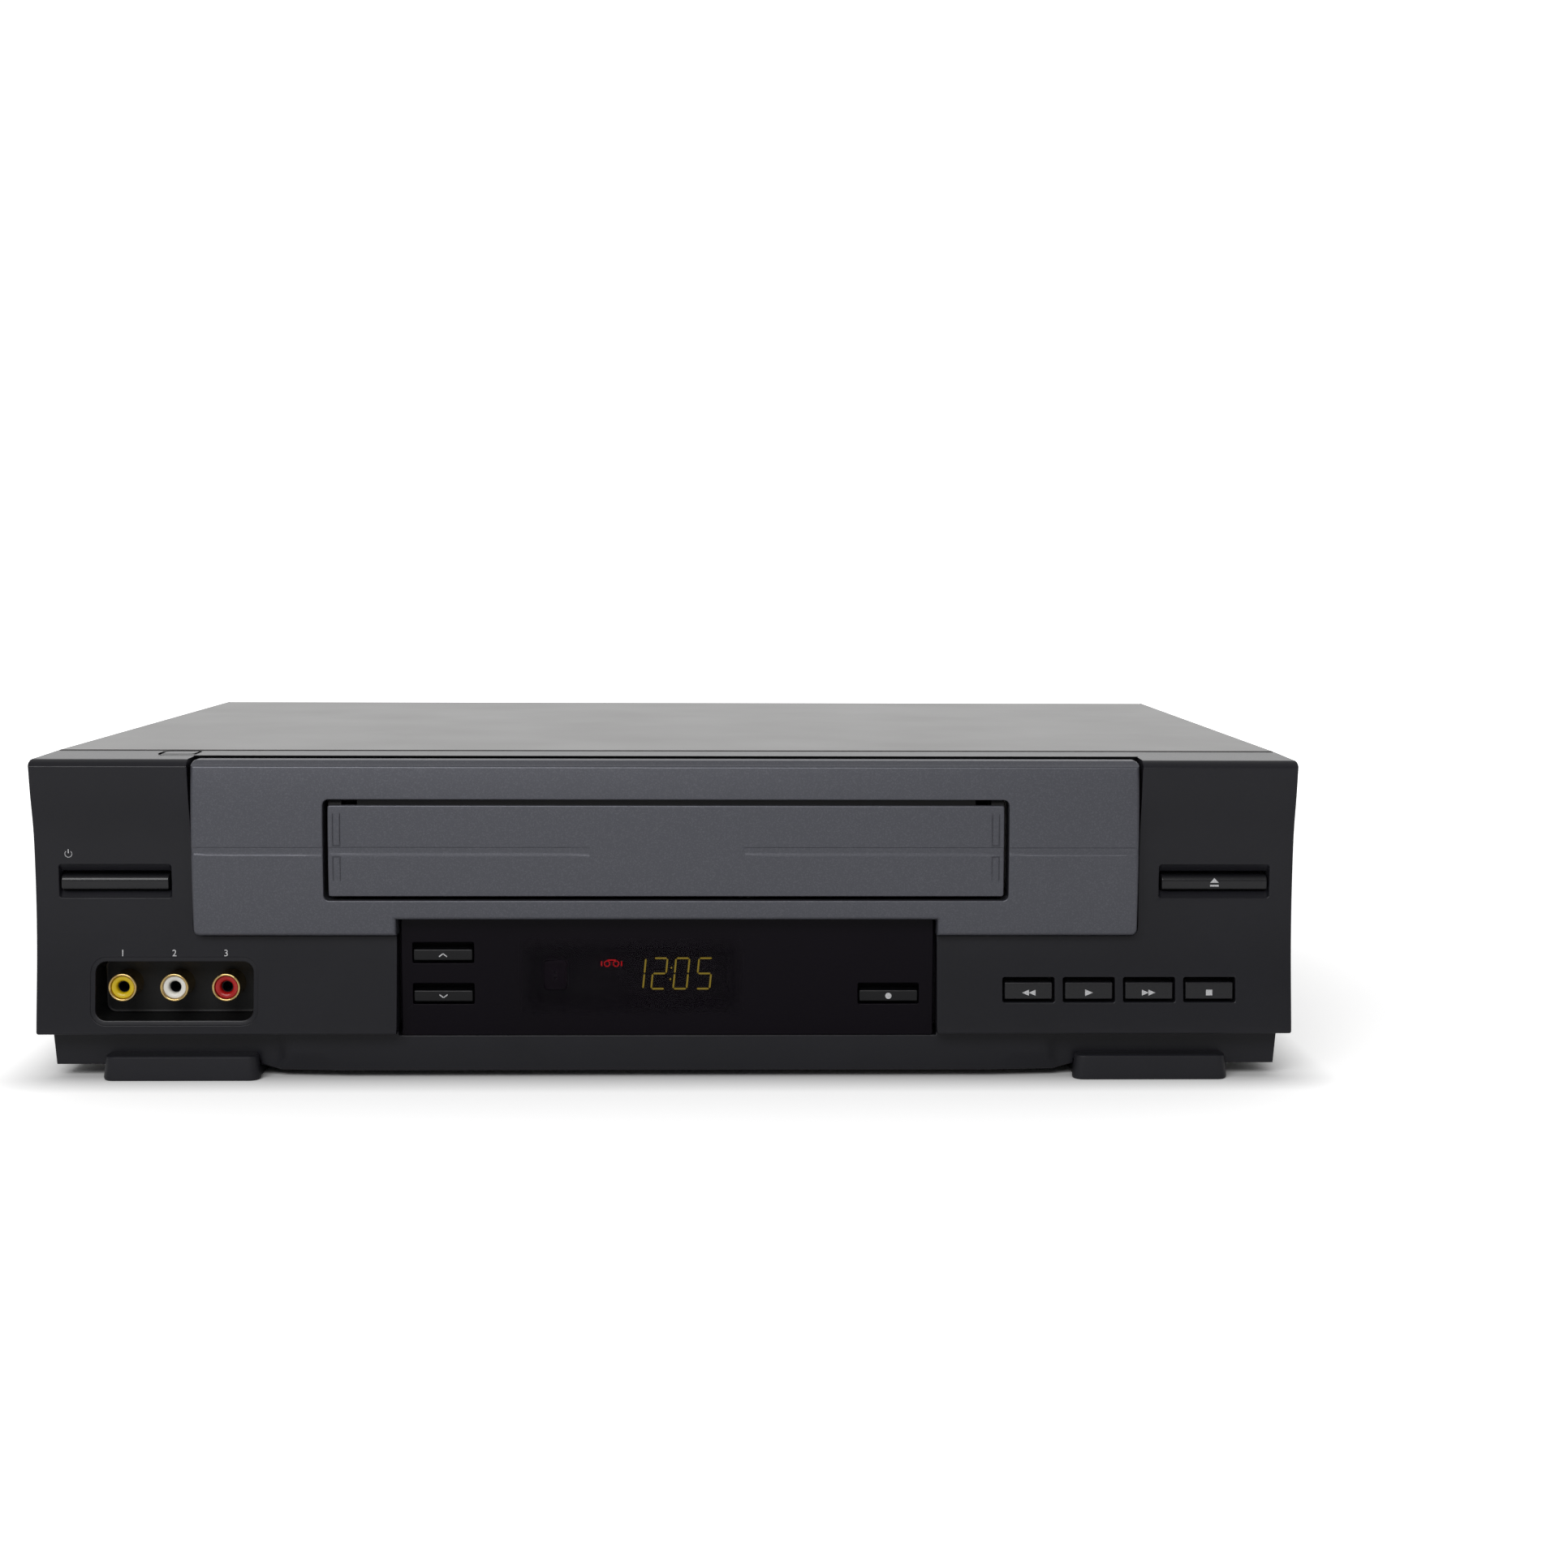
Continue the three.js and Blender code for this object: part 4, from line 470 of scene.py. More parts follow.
fascia_low, fascia_corner = bay_low + 0.5, ((133.2, 91.1), 1.5)
fascia_path = crossed(whole(np.concatenate([
    through([(0, 47.2), (77.2, 47.2), (77.2, fascia_low), (132.9, fascia_low)], [10, 4, 10])[:-1],
    bend((132.9, fascia_low + 1.8), 1.8, -90, 0), run((134.7, fascia_low + 1.8), (134.7, 91.1), 19)[1:],
    bend(*fascia_corner, 0, 90, 8), through([(133.2, 92.6), (0, 92.6)], [15])[1:]])), groove_rows)
fascia_steps = [(1, 2.1, 0), (0.8, 1.88, 0.02), (0.49, 1.65, 0.14), (0.2, 1.47, 0.4), (0.05, 1.26, 0.7), (0, 1.05, 1),
                (0, 0.3, 1.9), (0, 0.06, 2.2), (0, 0, 2.35)]
fascia_loops = mitred(fascia_path, fascia_steps, *fascia_corner, silver_face, closed=True)
fascia_loops.append(lift(fascia_path, 7 + 2.3 * np.clip((fascia_path[:, 1] - 91.1) / 1.4, 0, 1)))
doorway = crossed(rounded((-97.4, 97.4, 52.8, 81.6), 1.6, runs=12), groove_rows)
doorway_loops = rolled(inset(doorway, -1), 0.4, silver_face) + [lift(doorway, 6.9)]
silver_rows = np.sort(np.concatenate([np.arange(44.6, 92, 1.9), groove_rows]))


def metallic_paint(name, dark, light):
    """Silver-grey lacquer over ABS: aluminium flakes a few tenths of a millimetre across, drawn at 0.28 mm
    so that they show, tilt the gloss here and there under a thin clear coat."""
    material, tree, place, shader = surface_of(name)
    flakes = add(tree, "ShaderNodeTexVoronoi", {"Scale": 1 / 0.00028}, {"Vector": place})
    share = add(tree, "ShaderNodeSeparateColor", {}, {"Color": (flakes, "Color")})
    bright = add(tree, "ShaderNodeMapRange", {"From Min": 0.6, "From Max": 1}, {"Value": (share, "Red")})
    shades = {"data_type": "RGBA", 6: linear(dark), 7: linear(light)}
    colour = add(tree, "ShaderNodeMix", shades, {0: (bright, "Result")})
    tilt = add(tree, "ShaderNodeBump", {"Strength": 0.2, "Distance": 3e-5}, {"Height": (share, "Green")})
    feed(tree, (colour, 2), shader, "Base Color")
    feed(tree, (tilt, "Normal"), shader, "Normal")
    set_plain(shader, {"Metallic": 0.45, "Roughness": 0.38, "Coat_Weight": 0.15, "Coat_Roughness": 0.3})
    return material


silver_lacquer = metallic_paint("metallic_lacquer", "505158", "5a5b62")
piece("silver_front", [
    filled(fascia_loops[0], doorway_loops[:1], silver_face, np.arange(-130, 131, 6.5), silver_rows),
    turned_over(rings(fascia_loops)), rings(doorway_loops)], silver_lacquer, "silver_paint", "silver_fascia", wall=0.8)


# Cassette door: a plate of the same lacquered ABS, sunk half a millimetre, with a pair of raised ribs at each
# end. It swings inward on two black arms behind the fascia's upper edge, and a low lip between them closes the
# gap over the door; the lip is in the deeper black, painted shade in that gap.
def door_face(x, z):
    """Depth of the door: the fascia's own face half a millimetre back, its groove stopping 22 mm from the middle."""
    plain = np.clip((22.15 - np.abs(x)) / 0.3, 0, 1)
    return crown(z) + (silver_face(x, z) - crown(z)) * (1 - plain) + 0.5


door_path = crossed(rounded((-96.1, 96.1, 53.9, 80), 0.7, runs=12), groove_rows)
door_loops = rolled(inset(door_path), 0.4, door_face) + [lift(door_path, 2.9)]
door_columns = np.sort(np.concatenate([np.arange(-91, 92, 7), [-22.15, -21.85, 21.85, 22.15]]))
door_rows = np.sort(np.concatenate([np.arange(55.5, 79.5, 1.9), groove_rows]))
door_axis = np.array([4.8, 82.5])
arm_outline = np.array([[4.6, 77.2], [6.05, 82.2], [5.9, 83.2], [4.8, 83.75], [3.8, 82.2], [2.9, 79.7], [2.9, 76.4]])


def flat(y):
    """A flat surface at the depth y, for calls that take a surface(x, z)."""
    return lambda x, z: y + 0 * x


def circle(sides):
    """Points of a circle of radius 1, anticlockwise."""
    turn = np.linspace(0, 2 * np.pi, sides, endpoint=False)
    return np.stack([np.cos(turn), np.sin(turn)], axis=1)


def door_arm(start, end):
    """A flat arm from the door's back to its pin: one side outline carried from start to end, both ends closed."""
    return capped([np.insert(arm_outline, 0, x, axis=1) for x in (start, end)])


def hinge_pin(start, end, radius):
    """A round pin along the door's axis, with closed ends and a small chamfer."""
    edge = 0.25
    stations = ((start, 0), (start, radius - edge), (start + edge, radius),
                (end - edge, radius), (end, radius - edge), (end, 0))
    return rings([np.insert(door_axis + r * circle(20), 0, x, axis=1) for x, r in stations])


def ridge(box, tall):
    """A low rib on the door: a rounded outline that rises from the face and closes in on itself."""
    loops = []
    for spare, rise in ((0, -0.1), (0.02, tall * 0.6), (0.1, tall)):
        loop = rounded(grow(box, -spare), 0.1, bends=2, runs=8)
        loops.append(lift(loop, door_face(*loop.T) - rise))
    return rings(closed_off(loops))


ribs = [ridge((left, right, low, high), 0.24) for left, right, low, high in (
    (92.5, 92.8, 68.4, 77.7), (94.5, 94.8, 68.4, 77.7), (92.8, 94.5, 68.4, 68.7),
    (92.5, 92.8, 58.5, 65.5), (94.5, 94.8, 58.5, 65.5), (92.8, 94.5, 65.2, 65.5))]
arms = [door_arm(92.5, 96.1), hinge_pin(92.5, 96.1, 1.25), hinge_pin(95.8, 99.3, 1)]
piece("cassette_door_plate", [
    filled(door_loops[0], [], door_face, door_columns, door_rows), turned_over(rings(door_loops)),
    turned_over(filled(np.round(door_path, 3), [], flat(2.9), door_columns, door_rows)),
    *ribs, *map(mirrored, ribs)], silver_lacquer, "silver_paint", "cassette_door", body="door")
# The lip behind the gap over the door is in the deeper black: painted shade.
gap_shade_screen = np.array([[2.85, 79], [3.7, 79], [3.7, 81.35], [2.85, 81.35]])
piece("door_arms", [*arms, *map(mirrored, arms), hinge_pin(-92.8, -88.4, 1), bar(-88, 88, gap_shade_screen, 0.1)],
      deep_black_and_shade, "black_moulding", body="door")


# Display window: a polished pane of smoked acrylic behind the fascia's lower edge, with three openings for
# its keys. A fluorescent tube glows behind it: its figures are phosphor segments in a dark mask.
pane_box, pane_front, pane_rear = (-76.6, 76.6, 12.7, 46.7), 5.9, 7.9
pane_keys = {"channel_up": (-64.5, 36.8), "channel_down": (-64.5, 24.84), "record": (63.65, 24.84)}
key_holes = [(x - 8.8, x + 8.8, z - 3.05, z + 3.05) for x, z in pane_keys.values()]
pane_holes = [sunk(box, 0.5, 0.2, flat(pane_front), [(box, 0.5, pane_rear)]) for box in key_holes]
pane_loops = rolled(lambda spare: rounded(grow(pane_box, -spare), 0.6), 0.3, flat(pane_front))
pane_loops.append(lift(rounded(pane_box, 0.6), pane_rear))


def smoked_acrylic():
    """Smoked acrylic, polished: nearly black with a purple cast, and back-printed black except in front of the
    tube and the sensor, where a little over half of the light behind it comes through."""
    material = finish("smoked_acrylic", ("0c090e", "110d14"), (18, 2), Roughness=0.09, IOR=1.49,
                      Specular_IOR_Level=0.08)
    tree = material.node_tree
    axes = add(tree, "ShaderNodeSeparateXYZ", {}, {"Vector": (tree.nodes["Texture Coordinate"], "Object")})
    borders = (("X", -0.043, -0.037), ("X", 0.022, 0.0165), ("Z", 0.0185, 0.0235), ("Z", 0.041, 0.0362))
    clear = [(add(tree, "ShaderNodeMapRange", {"From Min": dark, "From Max": light},
                  {"Value": (axes, axis)}), "Result") for axis, dark, light in borders]
    while len(clear) > 1:
        pair = {0: clear.pop(0), 1: clear.pop(0)}
        clear.append((add(tree, "ShaderNodeMath", {"operation": "MULTIPLY"}, pair), "Value"))
    opening = add(tree, "ShaderNodeMapRange", {"To Min": 1, "To Max": 0.42}, {"Value": clear[0]})
    feed(tree, (opening, "Result"), tree.nodes["Principled BSDF"], "Alpha")
    return material


pane_faces = [filled(pane_loops[end], [loops[end] for loops in pane_holes], flat(depth), np.arange(-70, 71, 10),
                     np.arange(16, 45, 7)) for end, depth in ((0, pane_front), (-1, pane_rear))]
piece("smoked_window", [pane_faces[0], turned_over(pane_faces[1]), turned_over(rings(pane_loops)),
                        *map(rings, pane_holes)], smoked_acrylic(), "smoked_pane", "display_window")


def cap(box, corner, edge, front, rear, bulge=0.0):
    """A push button: its outline carried from rear to front, a quarter-round edge, and a crowned face that
    closes in on its middle."""
    loops = [lift(rounded(box, corner), rear)]
    for turn in np.linspace(np.pi / 2, 0, 5):
        spare = edge * (1 - np.sin(turn))
        loop = rounded(grow(box, -spare), max(corner - spare, 0.1))
        loops.append(lift(loop, front + bulge + edge * (1 - np.cos(turn))))
    tall = (box[3] - box[2]) / 2 - edge
    for share in (0.5, 0.85):
        spare = edge + tall * share
        loops.append(lift(rounded(grow(box, -spare), 0.05), front + bulge * (1 - share) ** 2))
    return capped(loops)


# The paper mask behind the pane is matt black, with a faint purple haze.
mask = finish("matt_mask", ("17131a", "1d1621"), (60, 1), Roughness=0.8)
piece("screen_mask", [cap((-80, 80, 14.4, 46), 0.5, 0.2, 13.0, 13.5)], mask, "black_moulding")


# Display figures: the tube's phosphor segments, slanted and thin, and a small mark beside them. They lie just
# in front of the mask. Plain numbers stand for what the tube shows.
def glowing(name, colour, strength):
    """Phosphor behind smoked acrylic: a dim light of its own, a little uneven over each segment."""
    material, tree, place, shader = surface_of(name)
    uneven = add(tree, "ShaderNodeTexNoise", {"Scale": 2500, "Detail": 1}, {"Vector": place})
    limits = {"To Min": strength * 0.8, "To Max": strength * 1.2}
    glow = add(tree, "ShaderNodeMapRange", limits, {"Value": (uneven, "Fac")})
    feed(tree, (glow, "Result"), shader, "Emission Strength")
    set_plain(shader, {"Base_Color": linear("191713"), "Roughness": 0.6, "Emission_Color": linear(colour)})
    return material


def plates(outlines, surface, thick=0.12):
    """Thin closed plates: each convex outline set on the surface y = surface(x, z), and again that much behind it."""
    parts = []
    for outline in outlines:
        front = lift(np.asarray(outline, float), surface(*np.asarray(outline, float).T))
        parts.append(capped([front + [0, thick, 0], front]))
    return parts


def strokes(lines, width, gap=0.01):
    """Outlines of flat bars with pointed ends along straight lines (x0, z0, x1, z1), six corners each; every
    end stops short by the gap."""
    lines = np.asarray(lines, float)
    along = lines[:, 2:] - lines[:, :2]
    along = along / np.linalg.norm(along, axis=1, keepdims=True)
    start, end = lines[:, :2] + along * gap, lines[:, 2:] - along * gap
    along = along * width / 2
    across = np.stack([-along[:, 1], along[:, 0]], axis=1)
    return np.stack([start, start + along - across, end - along - across, end, end - along + across,
                     start + along + across], axis=1)


segments = np.array([[0, 1, 1, 1], [1, 1, 1, 0.5], [1, 0.5, 1, 0], [1, 0, 0, 0], [0, 0, 0, 0.5], [0, 0.5, 0, 1],
                     [0, 0.5, 1, 0.5]])
lit = {"0": [0, 1, 2, 3, 4, 5], "1": [1, 2], "2": [0, 1, 6, 4, 3], "5": [0, 5, 6, 2, 3]}
figures_low, figures_depth = 24.9, 12.6
figure_lines = [np.array([[0.2, 2.3, 0.2, 3.3], [0.2, 5.7, 0.2, 6.7]])]
figure_lines += [segments[lit[figure]] * [3.9, 9, 3.9, 9] + [left, 0, left, 0]
                 for figure, left in zip("1205", (-11.4, -5.1, 1.3, 8))]
figure_lines = np.concatenate(figure_lines)
figure_lines[:, [0, 2]] += figure_lines[:, [1, 3]] * 0.1
figure_lines[:, [1, 3]] += figures_low
piece("display_figures", plates(strokes(figure_lines, 0.5, 0.16), flat(figures_depth)),
      glowing("amber_phosphor", "b39a35", 1.1), "display_glass")
reel_ring = 0.85 * circle(8)
reel_lines = np.concatenate([reel_ring, np.roll(reel_ring, -1, axis=0)], axis=1)
tape_mark = np.concatenate([reel_lines + [x, 32.3, x, 32.3] for x in (-17.9, -15.3)] + [np.array([
    [-17.9, 33.35, -15.3, 33.35], [-19.5, 33.1, -19.5, 31.5], [-13.7, 33.1, -13.7, 31.5]])])
piece("display_tape_mark", plates(strokes(tape_mark, 0.36), flat(figures_depth)),
      glowing("red_phosphor", "e0141e", 1.2), "display_glass")
piece("remote_sensor", [cap((-36.2, -29.3, 25, 33.8), 1.2, 0.5, 9.6, 13.2, 0.4)],
      black_abs("sensor_filter", "1c0f1d", "2a142a", 0.3, 0.0012), "smoked_pane")


# Push buttons: moulded caps on stems that reach the front board. The two wide ones have a rounded upper edge,
# the four keys a crisp one, and the three in the window are polished. Their symbols are pad printed in light
# grey ink, matt, and thinner in tiny specks where the grain of the plastic shows.
printed_grey = finish("pad_printed_ink", ("8a8a8c", "c6c6c8"), (4000, 1), spread=(0.3, 0.45), Roughness=0.6)
button_abs = black_abs("moulded_button_abs", "141417", "1a1a1d", 0.25, 0.0003, specular=0.4)
# Polished black for the window keys; as the lining of the sockets' bores it is painted shade.
gloss_black_and_bore_shade = black_abs("polished_black_abs_and_bore_shade", "0b0b0d", "101013", 0.14, 0.0006)
wide_side = np.concatenate([[[5.1, 55.4], [9.8, 55.4], [9.8, 59.6]], bend((6.2, 57.7), 1.9, 90, 180, 9),
                            [[4.32, 56.6]], bend((5.0, 56.05), 0.65, 180, 262, 5)])
key_side = np.concatenate([[[3.3, 23.6], [9.3, 23.6], [9.3, 28.6]], bend((3.35, 28.25), 0.35, 90, 180, 5),
                           bend((3.25, 24.15), 0.55, 190, 265, 5)])
pane_side = np.concatenate([[[5.9, -1.65], [10.4, -1.65], [10.4, 1.65]], bend((5.65, 1.2), 0.45, 90, 180, 6),
                            bend((5.65, -1.2), 0.45, 180, 265, 6)])


ink = 0.02


def key_print(x, z):
    """The front of a key, a straight slope, with the ink proud of it."""
    return 2.71 + (z - 24.05) / 4.2 * 0.29 - ink


arrow = np.array([[-1, 0], [1, -0.9], [1, 0.9]])
square = np.array([[-0.92, -0.82], [0.92, -0.82], [0.92, 0.82], [-0.92, 0.82]])
key_marks = {"rewind": [arrow * [1, 0.95] + [x, 0] for x in (-0.85, 1.05)],
             "play": [arrow[::-1] * [-1.15, 1.05] + [0.1, 0]],
             "fast_forward": [arrow[::-1] * [-1, 0.95] + [x, 0] for x in (-1.05, 0.85)], "stop": [square]}
for (name, marks), middle in zip(key_marks.items(), key_places):
    piece(name + "_key_cap", [bar(middle - 6.9, middle + 6.9, key_side, 0.35)], button_abs, "black_moulding",
          name + "_button", body=name + "_key")
    piece(name + "_symbol", plates([mark + [middle, 25.6] for mark in marks], key_print, 0.05), printed_grey,
          "black_moulding", body=name + "_key")
for name, middle in (("power", -wide_key), ("eject", wide_key)):
    piece(name + "_bar", [bar(middle - 15.2, middle + 15.2, wide_side, 0.3)], button_abs, "black_moulding",
          name + "_button", body=name + "_key")
eject_marks = [np.array([[-1.25, 57.4], [1.25, 57.4], [0, 58.75]]),
               np.array([[-1.25, 56.3], [1.25, 56.3], [1.25, 56.8], [-1.25, 56.8]])]


def bar_print(x, z):
    """The ink on a wide button: on its flat front, then round its upper edge, a circle of 1.9 mm."""
    return 6.2 - np.sqrt(1.9 ** 2 - np.clip(z - 57.7, 0, 1.8) ** 2) - ink


mark_grid = wide_key + np.arange(-1.3, 1.4, 0.23), np.arange(56.4, 58.7, 0.18)
piece("eject_symbol", [filled(mark + [wide_key, 0], [], bar_print, *mark_grid) for mark in eject_marks],
      printed_grey, "black_moulding", body="eject_key")
for name, (x, z) in pane_keys.items():
    centre = z - 0.5
    piece(name + "_key_cap", [bar(x - 8.4, x + 8.4, pane_side + [0, centre], 0.3)], gloss_black_and_bore_shade, "gloss_black",
          name + "_button", body=name + "_key")
    marks = {"channel_up": strokes([[-1.2, -0.5, 0.06, 0.5], [1.2, -0.5, -0.06, 0.5]], 0.32),
             "channel_down": strokes([[-1.2, 0.5, 0.06, -0.5], [1.2, 0.5, -0.06, -0.5]], 0.32),
             "record": [0.9 * circle(24)]}[name]
    piece(name + "_symbol", plates([mark + [x, centre - 0.1] for mark in np.asarray(marks)], flat(5.2 - ink), 0.05),
          printed_grey, "gloss_black", body=name + "_key")


# Printed marks on the front moulding: a switch symbol by the power button, and plain numbers by the sockets,
# pad printed in the same light grey ink as the keys.
def lettered(text, tall, left, bottom, surface):
    """Text as a thin flat mesh: the outline of each figure, filled, set on y = surface(x, z)."""
    curve = bpy.data.curves.new("text", "FONT")
    curve.body, curve.size, curve.resolution_u = text, tall / 0.7, 3
    holder = bpy.data.objects.new("text", curve)
    figure = holder.to_mesh()
    figure.calc_loop_triangles()
    points = np.empty((len(figure.vertices), 3), np.float32)
    figure.vertices.foreach_get("co", points.reshape(-1))
    faces = np.empty((len(figure.loop_triangles), 3), np.int32)
    figure.loop_triangles.foreach_get("vertices", faces.reshape(-1))
    holder.to_mesh_clear()
    bpy.data.objects.remove(holder)
    points = points[:, :2] + np.array([left, bottom])
    return lift(points, surface(*points.T)), faces


def on_face(x, z):
    """The black face, with the ink proud of it."""
    return hollow_face(x, z) - ink


ring = bend((-170.3, 65.6), 1, 130, 410, 15)
switch_lines = np.concatenate([np.concatenate([ring[:-1], ring[1:]], axis=1), [[-170.3, 65.7, -170.3, 67.0]]])
piece("switch_symbol", plates(strokes(switch_lines, 0.26), on_face, 0.05), printed_grey, "black_moulding")
piece("socket_numbers", [lettered(figure, 1.9, x, 36.2, on_face)
                         for figure, x in zip("123", (-156.2, -141.5, -126.8))], printed_grey, "black_moulding")


# Front sockets: gold-flashed brass shells pressed into a black block, each with a coloured insulator whose bore
# takes the pin of a cable plug. The shells' front lips are rolled.
def turned(profile, x, z, sides=48):
    """A profile of (radius, depth) pairs turned about a line along Y through x, z."""
    return rings([lift(radius * circle(sides) + [x, z], depth) for radius, depth in profile])


# Gold flash on brass is bright, with slight wear to a paler gold; the plastics are a little uneven in colour.
gold = finish("gold_flashed_brass", ("c79b4e", "e3cf9a"), (900, 2), bump=(0.15, 2e-5), Metallic=1, Roughness=0.22)
plastics = {colour: finish(colour + "_moulded_plastic", shades, (350, 2), Roughness=0.25) for colour, shades in
            {"yellow": ("c9a80c", "e0c41c"), "white": ("dedbd2", "f0eee8"), "red": ("9c0f10", "b81a18")}.items()}
channels = dict(zip(("video", "left", "right"), plastics))
curl = np.radians(np.linspace(0, 180, 9))
lip = np.array([4.12, 5.45]) + 0.4 * np.stack([np.cos(curl) - 1, -np.sin(curl)], axis=1)
shell_profile = [(4.12, 15.6), *map(tuple, lip), (3.4, 5.9), (3.7, 6.4), (3.7, 15.6), (4.12, 15.6)]
insert_profile = [(0, 15.5), (3.68, 15.5), (3.68, 6.4), (3.3, 5.9), (3.1, 5.72), (2.3, 5.8), (1.9, 6.1), (1.7, 6.7),
                  (1.7, 13.4), (0, 13.4)]
# Each bore is lined by a sleeve of polished black: painted shade for the deep hole.
bore_profile = [(1.69, 13.3), (1.69, 7.6), (1.6, 7.3), (1.45, 7.3), (1.35, 7.6), (1.3, 13), (1.69, 13.3)]
socket_level = 26.8
for (channel, colour), x in zip(channels.items(), (-156.3, -141.5, -126.7)):
    piece("front_shell_" + channel, [turned(shell_profile, x, socket_level)], gold, "gilt",
          "front_jack_shell_" + channel)
    piece("front_insulator_" + channel, [turned(insert_profile, x, socket_level)], plastics[colour],
          colour + "_plastic", "front_jack_insert_" + channel)
    piece("front_bore_shade_" + channel, [turned(bore_profile, x, socket_level, 32)], gloss_black_and_bore_shade, "gloss_black")


# Front feet: wide moulded bars under the front corners, rounded in plan, flared to the floor, with a low slab
# running back under the machine.
def stacked(levels):
    """Rounded outlines (box in x and y, corner radius) at rising heights, closed at both ends."""
    return capped([np.insert(rounded(box, radius, bends=6, runs=10), 2, z, axis=1) for box, radius, z in levels])


foot_abs = black_abs("moulded_foot_abs", "1f1f23", "26262b", 0.38, 0.0004)
foot_places = {"left": -139.8, "right": 139.8}
foot_bar = [(22, 3.1, 2.6, 0), (22.4, 2.7, 3, 0.25), (22.5, 2.6, 3, 0.9), (22.1, 2.8, 2.8, 3.4),
            (21.9, 2.95, 2.7, 6.4), (21.75, 3.1, 2.6, 6.9), (21.35, 3.5, 2.3, 7.2)]
foot_slab = [(21.5, 34, 1.5, 0), (21.5, 34, 1.5, 4.3), (21.2, 33.7, 1.3, 4.7)]
for side, x in foot_places.items():
    piece("front_foot_bar_" + side, [
        stacked([((x - half, x + half, front, 8.6), corner, z) for half, front, corner, z in foot_bar]),
        stacked([((x - half, x + half, 7, rear), corner, z) for half, rear, corner, z in foot_slab])],
        foot_abs, "foot_moulding", "front_foot_" + side)


# Top cover: one sheet of steel folded down over both sides, with cooling slots low in each side and a narrow
# lip at the back for its two screws. It is powder coated a dark satin brown-grey with a fine orange peel.
side_fold, tab_fold, fold_radius = 178.1, 237.4, 1.6
cover_arc = np.array([0, 0.5, 1.0, 1.5, 2.0, 2.513])
bend_columns = np.concatenate([side_fold + cover_arc, -side_fold - cover_arc])
cover_columns = np.sort(np.concatenate([bend_columns, np.arange(-165, 166, 15), *[side * np.array([
    185, 189.5, 194.8, 200, 206, 212, 218, 223, 230, 238, 246, 254, 261]) for side in (-1, 1)]]))
cover_rows = np.concatenate([np.arange(34, 164, 10), np.arange(165, 225, 6), [228, 234], tab_fold + cover_arc,
                             [242.5]])


def past_fold(length):
    """How far out and down the sheet reaches at a length past the start of a fold: a quarter circle, then
    straight down."""
    turn = np.clip(length / fold_radius, 0, np.pi / 2)
    straight = np.maximum(length - fold_radius * np.pi / 2, 0)
    return fold_radius * np.sin(turn), fold_radius * (1 - np.cos(turn)) + straight


def folded(part):
    """The flat sheet bent to its shape: both sides turn down past side_fold from the middle, and the tab turns
    down past tab_fold from the front."""
    across, along = part[0][:, 0], part[0][:, 2]
    out, down = past_fold(np.abs(across) - side_fold)
    tab = (along > tab_fold) & (np.abs(across) < side_fold - 0.6)
    back, tab_down = past_fold(np.where(tab, along - tab_fold, 0))
    x = np.sign(across) * (np.minimum(np.abs(across), side_fold) + out)
    y = np.where(tab, tab_fold + back, along)
    return np.stack([x, y, 93.5 - down - tab_down], axis=1), part[1]


cover_edge = np.array([[-267, 26.3], [267, 26.3], [267, 239], [177.9, 239], [177.9, 236.6], [177.1, 236.6],
                       [177.1, 247.3], [-177.1, 247.3], [-177.1, 236.6], [-177.9, 236.6], [-177.9, 239], [-267, 239]])
cover_edge = crossed(crossed(cover_edge, cover_rows)[:, ::-1], cover_columns)[:, ::-1]
slots = [rounded((start, start + 25.8, y - 1.2, y + 1.2), 1.19, bends=3, runs=5)
         for start in (-220.4, 194.6) for y in 169.2 + 6 * np.arange(9)]


# Its orange peel is about 0.6 mm across, drawn at 0.9 mm so that it shows.
powder_coat = finish("satin_powder_coat", ("302b29", "38332f"), (22, 3), (1 / 0.0009, 2), bump=(0.25, 3e-5),
                     patchy=(0.27, 0.35), IOR=1.5, Specular_IOR_Level=0.6)
cover_sheet = folded(filled(cover_edge, slots, flat(0), cover_columns, cover_rows, 0.7))
piece("folded_cover", [cover_sheet], powder_coat, "cover_paint", "top_cover", wall=0.8)


# Rear: the panel is painted as the cover is. Its sockets are gold-flashed shells in a black block, the aerial
# sockets are threaded, and the cord's bush is moulded rubber with a groove that holds the panel's edge.
def rearward(part, about):
    """A part turned to face the back: y becomes about - y, and each face is turned back."""
    return part[0] * [1, -1, 1] + [0, about, 0], part[1][:, ::-1]


rear_columns, rear_rows, turn_line = (69, 84, 99), (24, 40), 252.05
socket_places = [(x, z) for z in rear_rows for x in rear_columns]
block_side = np.array([[222.6, 11], [236.4, 11], [236.4, 48.9], [222.6, 48.9]])
collars = [turned([(4.6, 237.8), (4.6, 239), (4.3, 239.3), (4.16, 239.3), (4.16, 237.8), (4.6, 237.8)][::-1], x, z)
           for x, z in socket_places]
piece("rear_socket_block", [bar(60.1, 107.9, block_side, 0.4), *collars], black_moulding, "black_moulding",
      "rear_jack_block")
piece("rear_shells", [rearward(turned(shell_profile, x, z), turn_line) for x, z in socket_places], gold, "gilt")
for (channel, colour), x in zip(channels.items(), rear_columns):
    piece("rear_insulators_" + channel, [rearward(turned(insert_profile, x, z), turn_line) for z in rear_rows],
          plastics[colour], colour + "_plastic")
# The rear bores are lined in the same polished black: painted shade.
piece("rear_bore_shades", [rearward(turned(bore_profile, x, z, 32), turn_line) for x, z in socket_places], gloss_black_and_bore_shade,
      "gloss_black")


def bare_metal(name, dark, light, rough, grain, stretch):
    """Bare metal: a grain of that size, drawn out along the way it was rolled or turned, and uneven plating."""
    return finish(name, (dark, light), (120, 2), (1 / grain, 3), bump=(0.2, 2e-5), sheen=(rough - 0.06, rough + 0.08),
                  stretch=stretch, Metallic=1)


